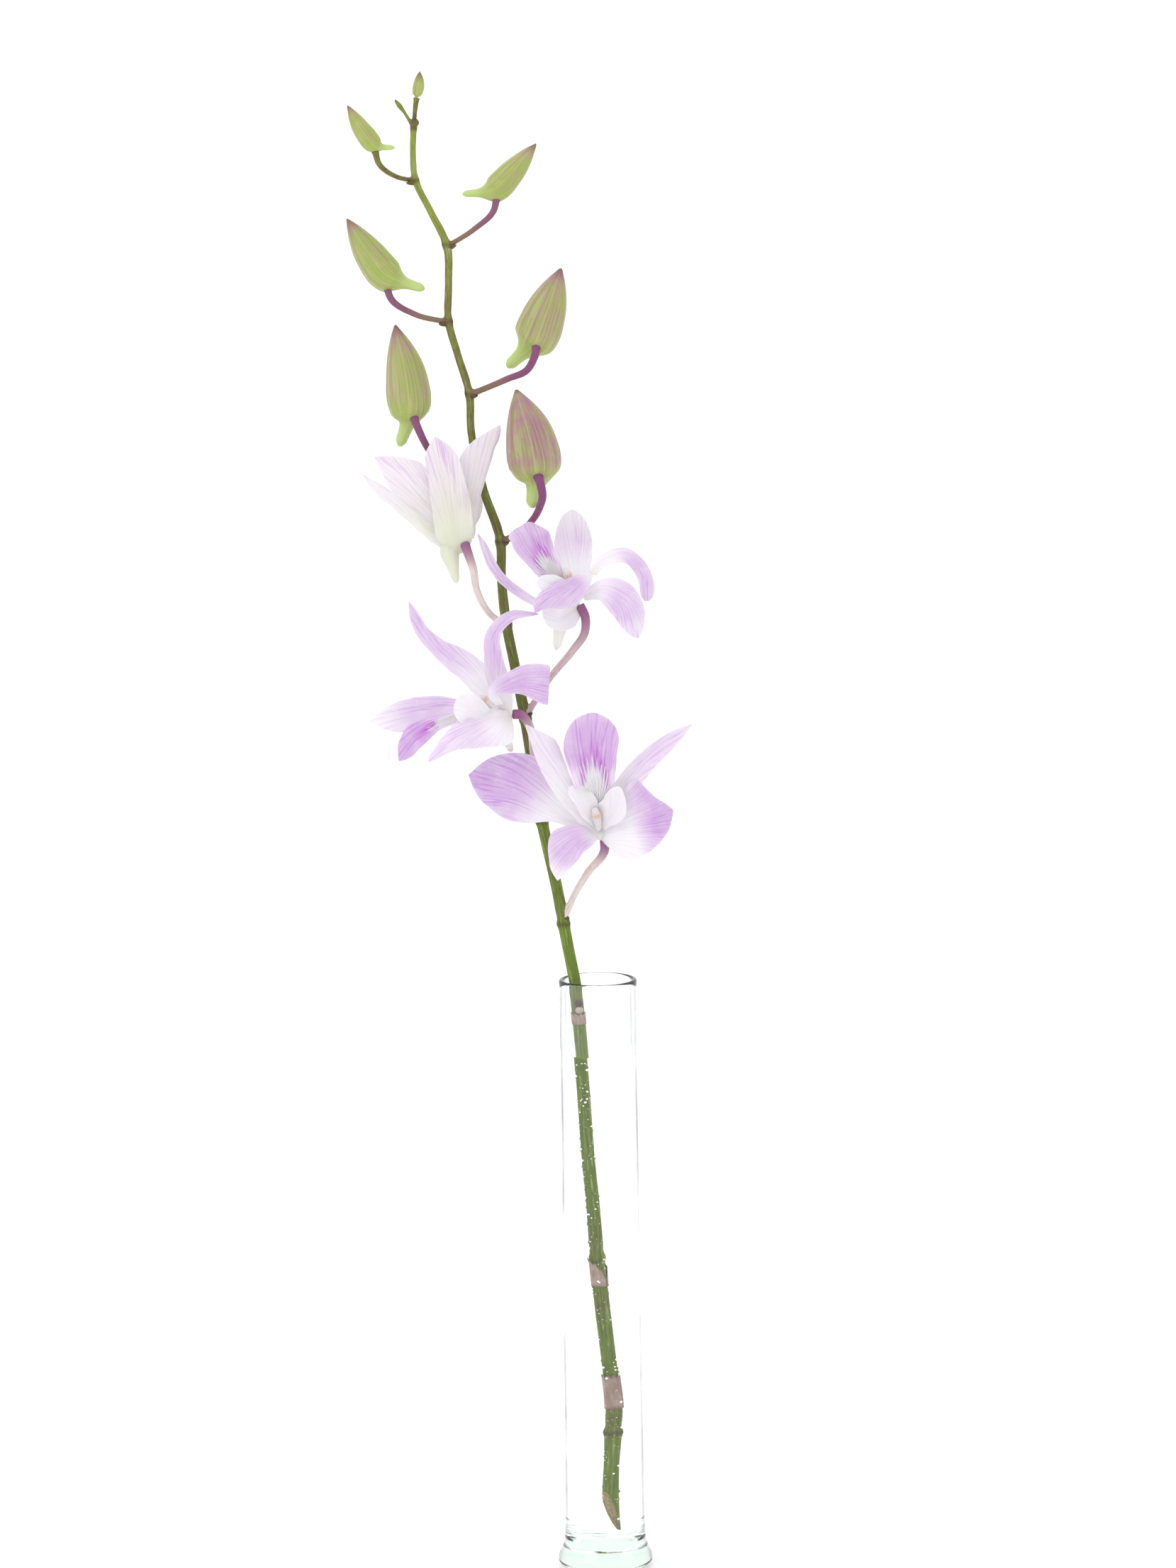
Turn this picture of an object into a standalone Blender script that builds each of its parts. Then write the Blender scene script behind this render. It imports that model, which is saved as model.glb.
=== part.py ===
"""Dendrobium orchid spray in a narrow glass vase.

A cut spray with seven buds and four blooms stands in a tall, thick-footed glass tube of water.
Sizes in this file are millimetres and are scaled to metres when a mesh is made. The origin is the
centre of the vase's flat underside, +Z is up, and the blooms mostly face -Y.
"""

import math
from collections import namedtuple

import bmesh
import bpy
import numpy as np
from mathutils import Vector
from mathutils.bvhtree import BVHTree

MM = 0.001
GAP = 0.3

# Vase: a tapered tube on a bulged solid foot
VASE_HEIGHT = 184.6
VASE_TOP_RADIUS = 11.8
VASE_BASE_RADIUS = 12.35
VASE_MOUTH_RADIUS = 10.4
VASE_BORE_RADIUS = 10.85
VASE_FLOOR = 11.0
VASE_FLAT_RADIUS = 12.8
FOOT_RADIUS = 14.6
FOOT_WIDEST = 2.2
FOOT_TOP = 9.0
RIM_ROUND = 0.75
FLOOR_ROUND = 3.0
VASE_SIDES = 36

# Water
WATER_LEVEL = 161.0
WATER_SIDES = 24

# Stem
STEM_SIDES = 8
PEDICEL_SIDES = 6
CUT_HIGH = (-1.1, -2.4, 23.0)
CUT_LOW = (3.9, -2.0, VASE_FLOOR + GAP)
STEM_STEPS = 46
NODE_SWELL = 1.22
NODE_WIDTH = 1.1
NODE_LENGTH = 2.2
HOLE_GAP = 0.5
BLOOM_STALK_TOP = 1.5
BLOOM_STALK_FOOT = 1.0

# Seats, where a flower stalk ends just clear of its flower: the gap, how far out round the stalk
# the flower's surface is felt for, the start of that search, and the straight part below the seat
SEAT_GAP = 0.4
SEAT_SPREAD = 1.35
SEAT_SEARCH = 30.0
PEDICEL_START = 1.2

# Blooms and buds
TEPAL_THICK = 0.65
TEPAL_GRID = (9, 5)
LIP_THICK = 0.65
LIP_GRID = (11, 5)
COLUMN_LENGTH = 8.5
COLUMN_RADIUS = 1.45
TEPAL_ROOT = 0.8
COLUMN_CLEAR = 0.6
LIP_CLEAR = 1.5
RECEPTACLE = 2.5
BUD_SIDES = 10

# The stalk's middle line from its cut end to its tip, as x, y, z and radius
STALK = (
    (1.9, -2.1, 8.0, 2.1),
    (1.4, -2.4, 23.0, 2.1),
    (1.8, -2.6, 34.0, 2.0),
    (2.3, -2.9, 43.3, 2.25),
    (2.6, -3.2, 52.0, 2.2),
    (1.8, -3.8, 62.5, 2.0),
    (0.0, -4.8, 84.0, 2.05),
    (-1.3, -5.4, 101.0, 1.95),
    (-2.3, -5.6, 118.0, 1.85),
    (-3.0, -5.6, 127.0, 1.85),
    (-4.5, -5.3, 155.0, 1.85),
    (-5.4, -4.9, 168.0, 1.9),
    (-6.9, -4.3, 184.0, 1.85),
    (-8.6, -3.9, 193.5, 1.8),
    (-10.2, -3.6, 202.5, 1.85),
    (-11.6, -3.3, 211.0, 1.8),
    (-16.3, -2.4, 234.0, 1.8),
    (-20.9, -1.6, 265.5, 1.8),
    (-23.9, -1.1, 282.0, 1.6),
    (-26.2, -0.8, 294.5, 1.6),
    (-27.5, -0.4, 309.0, 1.45),
    (-27.6, 0.0, 319.5, 1.5),
    (-32.4, 0.0, 335.0, 1.3),
    (-34.0, 0.0, 341.5, 1.3),
    (-36.0, 0.0, 354.0, 1.2),
    (-36.3, 0.0, 364.5, 1.25),
    (-39.5, 0.0, 376.0, 1.15),
    (-42.2, 0.0, 386.5, 1.2),
    (-42.0, 0.0, 398.0, 1.15),
    (-42.4, 0.0, 409.5, 1.25),
    (-47.0, 0.0, 419.5, 1.05),
    (-51.4, 0.0, 429.0, 1.05),
    (-52.0, 0.0, 437.5, 0.95),
    (-51.6, 0.0, 445.5, 0.95),
)
# Heights of the ring nodes on the stalk
NODE_HEIGHTS = (43.3, 99.0, 171.5, 202.5, 234.0, 265.5, 294.5, 319.5, 341.5, 364.5, 386.5, 409.5,
                429.0, 444.5)
# Dry sheaths that hug the stalk, as lower and upper height
SHEATHS = ((51.0, 60.0), (90.0, 98.0))
SHEATH_SWELL = 1.14

# A bud: tip, widest, base and chin points, widest radius, seat direction and stalk route
Bud = namedtuple("Bud", "tip belly base chin radius seat route")
BUDS = {
    "bud_tip": Bud((-49.6, 0.0, 460.7), (-50.2, 0.0, 456.2), (-50.5, 0.0, 454.6), (-50.9, 0.0, 453.2),
                   1.75, (-0.2, 0.0, -1.0), ((-51.3, 0.0, 449.5), (-51.6, 0.0, 445.0))),
    "bud_c": Bud((-71.4, -4.0, 452.0), (-66.3, -3.6, 443.4), (-63.3, -3.2, 439.8), (-57.2, -3.4, 438.9),
                 3.3, (-0.05, -0.3, -1.0),
                 ((-61.2, -3.0, 432.6), (-57.1, -1.6, 430.2), (-51.6, 0.0, 428.8))),
    "bud_d": Bud((-14.9, 6.0, 439.2), (-23.2, 5.2, 429.8), (-27.2, 4.8, 425.9), (-37.5, 4.2, 424.3),
                 4.8, (0.1, -0.55, -1.0),
                 ((-29.2, 1.6, 418.3), (-34.0, 0.8, 414.0), (-42.2, 0.0, 409.0))),
    "bud_e": Bud((-72.4, 3.0, 417.6), (-65.2, 2.6, 406.2), (-61.4, 2.2, 401.2), (-49.2, 1.8, 396.0),
                 5.3, (0.1, -0.6, -1.0),
                 ((-58.2, -0.8, 392.2), (-52.0, 0.0, 388.6), (-42.4, 0.0, 386.2))),
    "bud_f": Bud((-8.0, -2.0, 402.2), (-13.2, -1.0, 388.4), (-16.4, 0.0, 380.8), (-24.8, 0.6, 372.2),
                 6.9, (0.1, -0.95, -0.35),
                 ((-17.4, -7.4, 374.4), (-24.8, -4.8, 369.4), (-36.2, 0.0, 364.2))),
    "bud_g": Bud((-58.3, 1.0, 385.6), (-54.9, 1.4, 367.0), (-54.6, 1.8, 358.4), (-57.8, 2.2, 348.6),
                 6.7, (0.4, -0.9, -0.35),
                 ((-50.6, -4.8, 351.6), (-47.6, -2.0, 346.4), (-41.5, 1.0, 343.0), (-34.0, 0.0, 341.0))),
    "bud_h": Bud((-22.1, -6.0, 366.2), (-17.8, -5.8, 350.0), (-16.6, -5.6, 340.6), (-17.8, -5.4, 330.2),
                 8.1, (0.15, -0.95, -0.2),
                 ((-14.6, -14.2, 336.6), (-15.4, -9.6, 331.2), (-20.6, -1.8, 323.4), (-27.6, 0.0, 319.0))),
}

# Outlines along a blade, as place from root to tip, share of the half width, and cup
PETAL = ((0.0, 0.17, 0.10), (0.18, 0.26, 0.16), (0.42, 0.80, 0.10), (0.62, 1.0, 0.04), (0.80, 0.86, -0.02),
         (0.93, 0.45, -0.04), (1.0, 0.05, 0.0))
SEPAL = ((0.0, 0.38, 0.22), (0.18, 0.74, 0.20), (0.38, 1.0, 0.14), (0.60, 0.86, 0.08), (0.80, 0.52, 0.04),
         (0.93, 0.22, 0.02), (1.0, 0.06, 0.0))
SCOOP = ((0.0, 0.50, 0.30), (0.20, 0.82, 0.26), (0.45, 1.0, 0.16), (0.68, 0.84, 0.08), (0.88, 0.42, 0.02),
         (1.0, 0.06, 0.0))
BROAD = ((0.0, 0.45, 0.30), (0.20, 0.72, 0.24), (0.45, 0.95, 0.14), (0.66, 1.0, 0.06), (0.82, 0.84, 0.0),
         (0.93, 0.45, -0.02), (1.0, 0.05, 0.0))
LIP = ((0.0, 0.16, 0.30), (0.14, 0.40, 0.75), (0.30, 0.66, 0.95), (0.44, 0.62, 0.55), (0.56, 0.72, 0.12),
       (0.72, 1.0, -0.06), (0.86, 0.88, -0.12), (0.95, 0.50, -0.14), (1.0, 0.10, -0.10))

# A tepal: route from root to tip, face direction at root and tip, half width, outline, fold, lean
Tepal = namedtuple("Tepal", "route face_root face_tip half outline fold lean")
# A bloom: receptacle centre and radius, column direction, spur route and radius, seat direction,
# stalk route, five tepals and the lip
Bloom = namedtuple("Bloom", "centre receptacle column spur spur_radius seat route tepals lip")
BLOOMS = {
    "bloom_1": Bloom(
        (-38.8, -3.8, 321.3), 3.4, (-0.12, 0.24, 0.96), ((-42.0, -4.6, 318.0), (-40.1, -5.5, 307.8)), 3.2,
        (0.12, -0.85, -0.5),
        ((-36.6, -8.4, 314.0), (-34.9, -6.0, 305.5), (-30.6, -3.4, 297.4), (-26.2, -0.8, 294.2)),
        {
            "dorsal": Tepal(((-42.6, -10.0, 336.5), (-46.6, -9.4, 352.3)), (0.1, 1.0, 0.3), (0.1, 1.0, 0.1),
                            6.0, SCOOP, 0.0, 0.0),
            "petal_l": Tepal(((-49.6, -6.4, 332.0), (-63.6, -6.0, 347.0)), (0.5, 0.8, 0.4),
                             (0.3, 0.9, -0.3), 7.8, BROAD, 0.0, 0.0),
            "sepal_l": Tepal(((-46.6, -3.4, 321.0), (-57.0, -2.6, 328.2), (-68.7, -2.4, 340.8)),
                             (0.4, 0.7, 0.7), (0.5, 0.8, 0.3), 6.4, SCOOP, 0.0, 0.0),
            "petal_r": Tepal(((-34.8, -5.6, 337.0), (-28.4, -4.6, 354.8)), (-0.4, 0.9, 0.2),
                             (-0.3, 0.95, 0.0), 6.2, BROAD, 0.0, 0.0),
            "sepal_r": Tepal(((-36.0, 5.2, 330.0), (-34.0, 11.0, 343.0)), (-0.3, -0.9, 0.3),
                             (-0.3, -0.9, 0.1), 4.4, SEPAL, 0.0, 0.0),
        },
        Tepal(((-43.3, 1.6, 328.0), (-46.0, 4.6, 335.0), (-49.4, 6.6, 341.0)), (0.3, -0.6, 0.6),
              (0.4, -0.5, 0.8), 4.6, LIP, 0.0, 0.0)),
    "bloom_2": Bloom(
        (-5.1, -5.5, 302.4), RECEPTACLE, (-0.24, -0.38, 0.89),
        ((-9.6, -6.2, 300.0), (-10.5, -7.0, 287.2)), 2.7, (0.5, -0.3, -0.8),
        ((-2.6, -6.6, 295.0), (-7.2, -5.6, 286.4), (-13.0, -4.0, 279.0), (-20.9, -1.6, 266.0)),
        {
            "petal_far": Tepal(((-4.6, 1.6, 318.0), (-6.5, 5.0, 328.5)), (-0.3, -0.9, 0.3),
                               (-0.2, -1.0, 0.0), 6.2, PETAL, 0.0, 0.0),
            "sepal_curl": Tepal(((4.2, -1.6, 313.6), (12.0, 1.0, 315.0), (17.6, 2.6, 309.0),
                                 (16.8, 3.0, 299.9)),
                                (-0.1, -0.6, 0.8), (0.4, -0.9, 0.0), 3.6, SEPAL, 0.0, 0.0),
            "dorsal": Tepal(((7.4, -8.0, 304.0), (13.8, -7.0, 290.6)), (-0.1, -0.9, 0.4), (0.3, -0.9, 0.1),
                            5.4, SEPAL, 0.0, 0.0),
            "sepal_left": Tepal(((-15.6, -8.8, 300.8), (-23.4, -9.6, 304.6), (-29.8, -9.4, 311.2),
                                 (-34.1, -9.0, 322.9)),
                                (0.2, -0.35, 0.9), (0.8, -0.5, 0.3), 3.8, SEPAL, 0.0, 0.0),
            "petal_near": Tepal(((-5.2, -14.8, 307.2), (-10.8, -20.4, 306.2), (-17.2, -22.8, 301.2)),
                                (-0.5, 0.2, 0.85), (0.2, -0.9, 0.5), 6.6, PETAL, 0.0, 0.0),
        },
        Tepal(((-10.0, -5.8, 309.4), (-15.5, -9.3, 314.4), (-18.6, -13.0, 319.4), (-23.8, -13.8, 325.4)),
              (0.4, -0.7, 0.55), (0.5, -0.8, 0.3), 8.0, LIP, 0.0, 0.0)),
    "bloom_3": Bloom(
        (-26.8, -10.0, 268.0), RECEPTACLE, (-0.81, -0.24, 0.53),
        ((-27.4, -9.6, 264.0), (-25.1, -9.2, 256.4)), 2.7, (1.0, 0.25, -0.1),
        ((-21.8, -7.4, 265.0), (-20.0, -6.6, 260.0), (-18.8, -5.6, 250.0), (-16.4, -2.4, 234.4)),
        {
            "dorsal": Tepal(((-30.8, -10.4, 284.0), (-29.6, -10.4, 294.4), (-23.0, -9.6, 298.8),
                             (-16.3, -8.8, 298.2)),
                            (-0.7, -0.7, 0.0), (-0.3, -0.7, 0.6), 4.6, SEPAL, 0.0, 0.0),
            "petal_far": Tepal(((-40.2, -5.0, 283.6), (-49.3, -4.0, 291.6), (-55.6, -4.0, 301.7)),
                               (-0.3, -0.8, -0.3), (-0.7, -0.7, 0.2), 6.0, PETAL, 0.0, 0.0),
            "petal_near": Tepal(((-24.4, -17.6, 276.4), (-14.4, -17.0, 275.4)), (-0.85, -0.4, 0.2),
                                (0.1, -0.95, 0.3), 8.2, PETAL, 0.0, 0.0),
            "sepal_far": Tepal(((-44.5, -4.4, 269.8), (-57.5, -2.6, 268.2), (-68.4, -1.0, 264.8)),
                               (-0.1, -0.9, 0.3), (0.0, -1.0, 0.1), 5.4, SEPAL, 0.0, 0.0),
            "sepal_near": Tepal(((-35.6, -18.6, 262.8), (-50.1, -24.0, 256.5)), (-0.2, 0.8, 0.5),
                                (0.1, 0.9, 0.4), 7.4, SCOOP, 0.0, 0.0),
        },
        Tepal(((-39.2, -12.4, 268.0), (-48.8, -13.2, 265.6), (-59.0, -13.0, 255.4)), (-0.1, -0.1, 1.0),
              (-0.4, -0.6, 0.7), 7.4, LIP, 0.0, 0.0)),
    "bloom_4": Bloom(
        (1.2, -9.0, 230.6), RECEPTACLE, (-0.10, -0.78, 0.61), ((1.4, -5.0, 234.0), (1.6, 0.5, 239.5)), 2.4,
        (0.3, 0.1, -1.0),
        ((-3.7, -6.6, 217.2), (-8.4, -4.4, 207.6), (-10.3, -3.6, 202.8)),
        {
            "petal_l": Tepal(((-12.4, -11.6, 237.6), (-24.5, -14.0, 246.0), (-38.2, -13.0, 250.2)),
                             (0.1, -0.95, 0.3), (0.1, -1.0, 0.1), 11.0, PETAL, 0.0, 0.0),
            "petal_r": Tepal(((10.4, -14.6, 234.6), (18.6, -14.6, 236.6), (23.5, -7.0, 237.6)),
                             (-0.2, -0.9, 0.3), (0.8, -0.6, 0.0), 12.6, PETAL, 0.0, 0.0),
            "sepal_l": Tepal(((-8.2, -9.6, 239.2), (-17.2, -11.4, 252.8), (-20.7, -11.2, 264.6)),
                             (0.2, -0.95, 0.3), (0.2, -0.95, 0.0), 7.2, SEPAL, 0.0, 0.35),
            "sepal_r": Tepal(((9.4, -9.6, 248.4), (19.6, -10.0, 257.9), (29.6, -7.0, 263.6)),
                             (-0.2, -0.95, 0.3), (-0.1, -0.95, 0.3), 5.6, SEPAL, 0.0, 0.0),
            "dorsal": Tepal(((-6.4, -16.0, 227.6), (-11.6, -19.0, 218.9)), (0.0, -0.8, 0.6),
                            (-0.1, -0.8, 0.5), 7.0, SEPAL, 0.0, 0.0),
        },
        Tepal(((0.6, -11.2, 238.0), (-0.1, -14.6, 248.0), (-0.6, -16.6, 258.8), (0.4, -15.4, 268.9)),
              (0.0, -1.0, 0.3), (0.0, -0.95, -0.2), 8.7, LIP, 0.0, 0.0)),
}


def clear_scene():
    """Remove every object, so the script can run in any file."""
    for thing in list(bpy.data.objects):
        bpy.data.objects.remove(thing, do_unlink=True)


def material(name, colour, roughness, alpha=1.0, transmission=0.0, ior=1.45):
    """A plain Principled material."""
    made = bpy.data.materials.new(name)
    made.use_nodes = True
    shader = made.node_tree.nodes["Principled BSDF"]
    shader.inputs["Base Color"].default_value = (*colour, 1.0)
    shader.inputs["Roughness"].default_value = roughness
    shader.inputs["Alpha"].default_value = alpha
    shader.inputs["Transmission Weight"].default_value = transmission
    shader.inputs["IOR"].default_value = ior
    made.diffuse_color = (*colour, alpha)
    return made


def solid(name, points, faces, finish):
    """A closed mesh object from points in millimetres, with its faces turned outwards."""
    mesh = bpy.data.meshes.new(name)
    mesh.from_pydata([Vector(p) * MM for p in points], [], faces)
    shell = bmesh.new()
    shell.from_mesh(mesh)
    bmesh.ops.recalc_face_normals(shell, faces=shell.faces)
    shell.to_mesh(mesh)
    shell.free()
    mesh.shade_smooth()
    mesh.materials.append(finish)
    made = bpy.data.objects.new(name, mesh)
    bpy.context.scene.collection.objects.link(made)
    return made


def boolean(base, others, operation):
    """Apply one Boolean between a mesh and a collection of others, which are then removed."""
    tools = bpy.data.collections.new("tools")
    for other in others:
        tools.objects.link(other)
    change = base.modifiers.new("Boolean", "BOOLEAN")
    change.operation = operation
    change.solver = "EXACT"
    change.operand_type = "COLLECTION"
    change.collection = tools
    graph = bpy.context.evaluated_depsgraph_get()
    result = bpy.data.meshes.new_from_object(base.evaluated_get(graph))
    base.modifiers.clear()
    base.data = result
    for other in others:
        bpy.data.objects.remove(other, do_unlink=True)
    bpy.data.collections.remove(tools)
    return base


def smooth_between(places, values, wanted):
    """Smooth values, or points, between the rows of a table."""
    values = np.array(values, float)
    slopes = np.gradient(values, places, axis=0)
    found = []
    for place in wanted:
        left = min(np.searchsorted(places, place, side="right") - 1, len(places) - 2)
        span = places[left + 1] - places[left]
        t = (place - places[left]) / span
        found.append((2 * t**3 - 3 * t**2 + 1) * values[left] + (t**3 - 2 * t**2 + t) * span * slopes[left]
                     + (3 * t**2 - 2 * t**3) * values[left + 1] + (t**3 - t**2) * span * slopes[left + 1])
    return np.array(found)


def curve_through(points, stations):
    """Places on the smooth curve through the points, at stations from 0 to 1 along it."""
    knots = np.array(points, float)
    along = np.r_[0.0, np.cumsum(np.linalg.norm(np.diff(knots, axis=0), axis=1))]
    return smooth_between(along / along[-1], knots, stations)


def unit(vector):
    """The vector at length one."""
    vector = np.array(vector, float)
    return vector / np.linalg.norm(vector)


def directions(path):
    """The unit direction of travel at each point of a path."""
    ways = np.gradient(path, axis=0)
    return ways / np.linalg.norm(ways, axis=1)[:, None]


def tube(path, radii, sides, flatten=1.0, wide_way=(1.0, 0.0, 0.0)):
    """Points and faces of a closed tube of rings along a path, without twist."""
    ways = directions(path)
    across = unit(np.cross(ways[0], np.cross(wide_way, ways[0])))
    points = []
    for centre, way, radius in zip(path, ways, radii):
        across = unit(across - way * np.dot(across, way))
        other = np.cross(way, across)
        for k in range(sides):
            angle = 2 * math.pi * k / sides
            points.append(centre + radius * (math.cos(angle) * across + flatten * math.sin(angle) * other))
    faces = [tuple(reversed(range(sides)))]
    for ring in range(len(path) - 1):
        for k in range(sides):
            here = ring * sides + k
            beside = ring * sides + (k + 1) % sides
            faces.append((here, beside, beside + sides, here + sides))
    last = (len(path) - 1) * sides
    faces.append(tuple(last + k for k in range(sides)))
    return points, faces


def ball(centre, radius, rings=5, sides=10):
    """Points and faces of a round knob."""
    angles = [math.pi * (k + 0.5) / rings for k in range(rings)]
    path = np.array([np.array(centre) + (0.0, 0.0, -radius * math.cos(a)) for a in angles])
    return tube(path, [radius * math.sin(a) for a in angles], sides)


def blade(route, face_root, face_tip, half, outline, fold, lean, thick, rows, columns):
    """Points and triangles of a thin arched blade, split alike on its two faces."""
    places = np.linspace(0.0, 1.0, rows) ** 0.9
    middle = curve_through(route, places)
    ways = directions(middle)
    table = np.array(outline)
    widths = half * smooth_between(table[:, 0], table[:, 1], places)
    cups = smooth_between(table[:, 0], table[:, 2], places)
    grid = np.zeros((rows, columns, 3))
    for i, place in enumerate(places):
        face = unit(np.array(face_root) * (1 - place) + np.array(face_tip) * place)
        side = unit(np.cross(ways[i], face))
        face = np.cross(side, ways[i])
        for j in range(columns):
            v = -1.0 + 2.0 * j / (columns - 1)
            reach = v * max(widths[i], 0.3) * (1.0 + lean * v)
            rise = (cups[i] * v * v + fold * abs(v)) * widths[i]
            grid[i, j] = middle[i] + side * reach + face * rise
    down = np.gradient(grid, axis=0)
    over = np.gradient(grid, axis=1)
    normal = np.cross(down, over)
    normal /= np.linalg.norm(normal, axis=2)[:, :, None]
    top = (grid + normal * thick / 2).reshape(-1, 3)
    under = (grid - normal * thick / 2).reshape(-1, 3)
    points = list(top) + list(under)
    shift = rows * columns
    faces = []
    for i in range(rows - 1):
        for j in range(columns - 1):
            a = i * columns + j
            b = a + columns
            for face in ((a, b, b + 1), (a, b + 1, a + 1)):
                faces.append(face)
                faces.append(tuple(shift + k for k in reversed(face)))
    edge = list(range(columns))
    edge += [i * columns + columns - 1 for i in range(1, rows)]
    edge += [(rows - 1) * columns + j for j in range(columns - 2, -1, -1)]
    edge += [i * columns for i in range(rows - 2, 0, -1)]
    for here, there in zip(edge, edge[1:] + edge[:1]):
        faces.append((here, there, shift + there, shift + here))
    return points, faces


def arc(centre_r, centre_z, radius, start, end, steps):
    """Profile points on a round corner, angles in degrees from the outward direction."""
    angles = np.radians(np.linspace(start, end, steps))
    return [(centre_r + radius * math.cos(a), centre_z + radius * math.sin(a)) for a in angles]


def turned(name, profile, sides, finish):
    """A solid turned from a profile whose first and last points lie on the axis."""
    points = [(0.0, 0.0, profile[0][1])]
    for radius, height in profile[1:-1]:
        for k in range(sides):
            angle = 2 * math.pi * k / sides
            points.append((radius * math.cos(angle), radius * math.sin(angle), height))
    points.append((0.0, 0.0, profile[-1][1]))
    rings = len(profile) - 2
    faces = []
    for k in range(sides):
        beside = (k + 1) % sides
        faces.append((0, 1 + beside, 1 + k))
        for ring in range(rings - 1):
            low = 1 + ring * sides
            faces.append((low + k, low + beside, low + sides + beside, low + sides + k))
        last = 1 + (rings - 1) * sides
        faces.append((last + k, last + beside, len(points) - 1))
    return solid(name, points, faces, finish)


def vase_profile():
    """The vase's half section, from under its foot, up its outside and down its inside."""
    foot = [(0.0, 0.0), (VASE_FLAT_RADIUS, 0.0)]
    foot += [(FOOT_RADIUS - 0.5, 0.7), (FOOT_RADIUS, FOOT_WIDEST), (FOOT_RADIUS - 0.4, 4.2),
             (VASE_BASE_RADIUS + 0.8, 6.4), (VASE_BASE_RADIUS + 0.15, FOOT_TOP)]
    wall = [(VASE_BASE_RADIUS, FOOT_TOP + 4.0), (VASE_TOP_RADIUS, VASE_HEIGHT - 3.0)]
    rim_middle = (VASE_TOP_RADIUS + VASE_MOUTH_RADIUS) / 2 + 0.1
    rim = arc(rim_middle, VASE_HEIGHT - RIM_ROUND, RIM_ROUND, 0.0, 180.0, 7)
    corner = arc(VASE_BORE_RADIUS - FLOOR_ROUND, VASE_FLOOR + FLOOR_ROUND, FLOOR_ROUND, 0.0, -90.0, 6)
    bore = [(VASE_MOUTH_RADIUS, VASE_HEIGHT - 3.0)] + corner
    return foot + wall + rim + bore + [(0.0, VASE_FLOOR)]


def water_profile():
    """The water's half section, clear of the glass."""
    reach = VASE_BORE_RADIUS - GAP
    share = (WATER_LEVEL - VASE_FLOOR) / (VASE_HEIGHT - VASE_FLOOR)
    top_radius = VASE_BORE_RADIUS + (VASE_MOUTH_RADIUS - VASE_BORE_RADIUS) * share - GAP
    corner = arc(reach - FLOOR_ROUND, VASE_FLOOR + GAP + FLOOR_ROUND, FLOOR_ROUND, -90.0, 0.0, 5)
    return [(0.0, VASE_FLOOR + GAP)] + corner + [(top_radius, WATER_LEVEL), (0.0, WATER_LEVEL)]


def stalk_rings(extra=0.0):
    """Middle points and radii along the stalk, with its swollen nodes and sheaths."""
    heights = np.array([point[2] for point in STALK])
    low, high = heights[0], heights[-1]
    wanted = set(np.linspace(low, high, STEM_STEPS))
    for node in NODE_HEIGHTS:
        wanted |= {node - NODE_LENGTH, node - 0.6, node + 0.4, min(node + NODE_LENGTH, high)}
    for start, end in SHEATHS:
        wanted |= {start - 0.4, start, end - 1.5, end}
    wanted = sorted(wanted)
    kept = [wanted[0]]
    for height in wanted[1:]:
        if height - kept[-1] > 0.35:
            kept.append(height)
    table = np.array(STALK)
    path = smooth_between(table[:, 2], table[:, :3], kept)
    radii = smooth_between(table[:, 2], table[:, 3], kept)
    for k, height in enumerate(kept):
        ring = max(np.exp(-((height - node) / NODE_WIDTH) ** 2) for node in NODE_HEIGHTS)
        radii[k] *= 1 + (NODE_SWELL - 1) * ring
        for start, end in SHEATHS:
            if start <= height < end:
                radii[k] *= SHEATH_SWELL
    return path, radii + extra


def cut_slanted(stalk):
    """Cut the stalk's lower end off on a slant, as a knife does."""
    high = Vector(CUT_HIGH)
    low = Vector(CUT_LOW)
    normal = (low - high).cross(Vector((0.0, 1.0, 0.0))).normalized()
    shell = bmesh.new()
    shell.from_mesh(stalk.data)
    everything = shell.verts[:] + shell.edges[:] + shell.faces[:]
    cut = bmesh.ops.bisect_plane(shell, geom=everything, plane_co=low * MM, plane_no=normal, dist=1e-7,
                                 clear_outer=normal.z < 0, clear_inner=normal.z > 0)
    rim = [piece for piece in cut["geom_cut"] if isinstance(piece, bmesh.types.BMEdge)]
    bmesh.ops.contextual_create(shell, geom=rim)
    bmesh.ops.recalc_face_normals(shell, faces=shell.faces)
    shell.to_mesh(stalk.data)
    shell.free()


def seat_under(flower, through, way, radius):
    """Where a stalk of this radius ends, just clear of a flower, on the line from a point inside it."""
    mesh = flower.data
    shell = BVHTree.FromPolygons([v.co / MM for v in mesh.vertices], [f.vertices for f in mesh.polygons])
    across = unit(np.cross(way, (0.3, 0.5, 0.8)))
    other = np.cross(way, across)
    far = SEAT_SEARCH
    for turn in (None, *np.linspace(0.0, 2 * math.pi, 8, endpoint=False)):
        start = np.array(through) + SEAT_SEARCH * way
        if turn is not None:
            start = start + SEAT_SPREAD * radius * (math.cos(turn) * across + math.sin(turn) * other)
        distance = shell.ray_cast(Vector(start), Vector(-way), SEAT_SEARCH)[3]
        if distance is not None:
            far = min(far, distance)
    return np.array(through) + (SEAT_SEARCH - far + SEAT_GAP) * way


def pedicel(flower, through, way, route, thick_end, thin_end, finish):
    """One flower stalk, thicker under its flower and sunk into the main stalk."""
    way = unit(way)
    seat = seat_under(flower, through, way, thick_end)
    points = [seat, seat + way * PEDICEL_START] + [np.array(place) for place in route]
    length = np.sum(np.linalg.norm(np.diff(points, axis=0), axis=1))
    stations = np.r_[0.0, np.linspace(PEDICEL_START / length, 1.0, 3 + 2 * len(route))]
    path = curve_through(points, stations)
    radii = thin_end + (thick_end - thin_end) * (1 - stations) ** 1.6
    return solid("pedicel", *tube(path, radii, PEDICEL_SIDES), finish)


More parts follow.
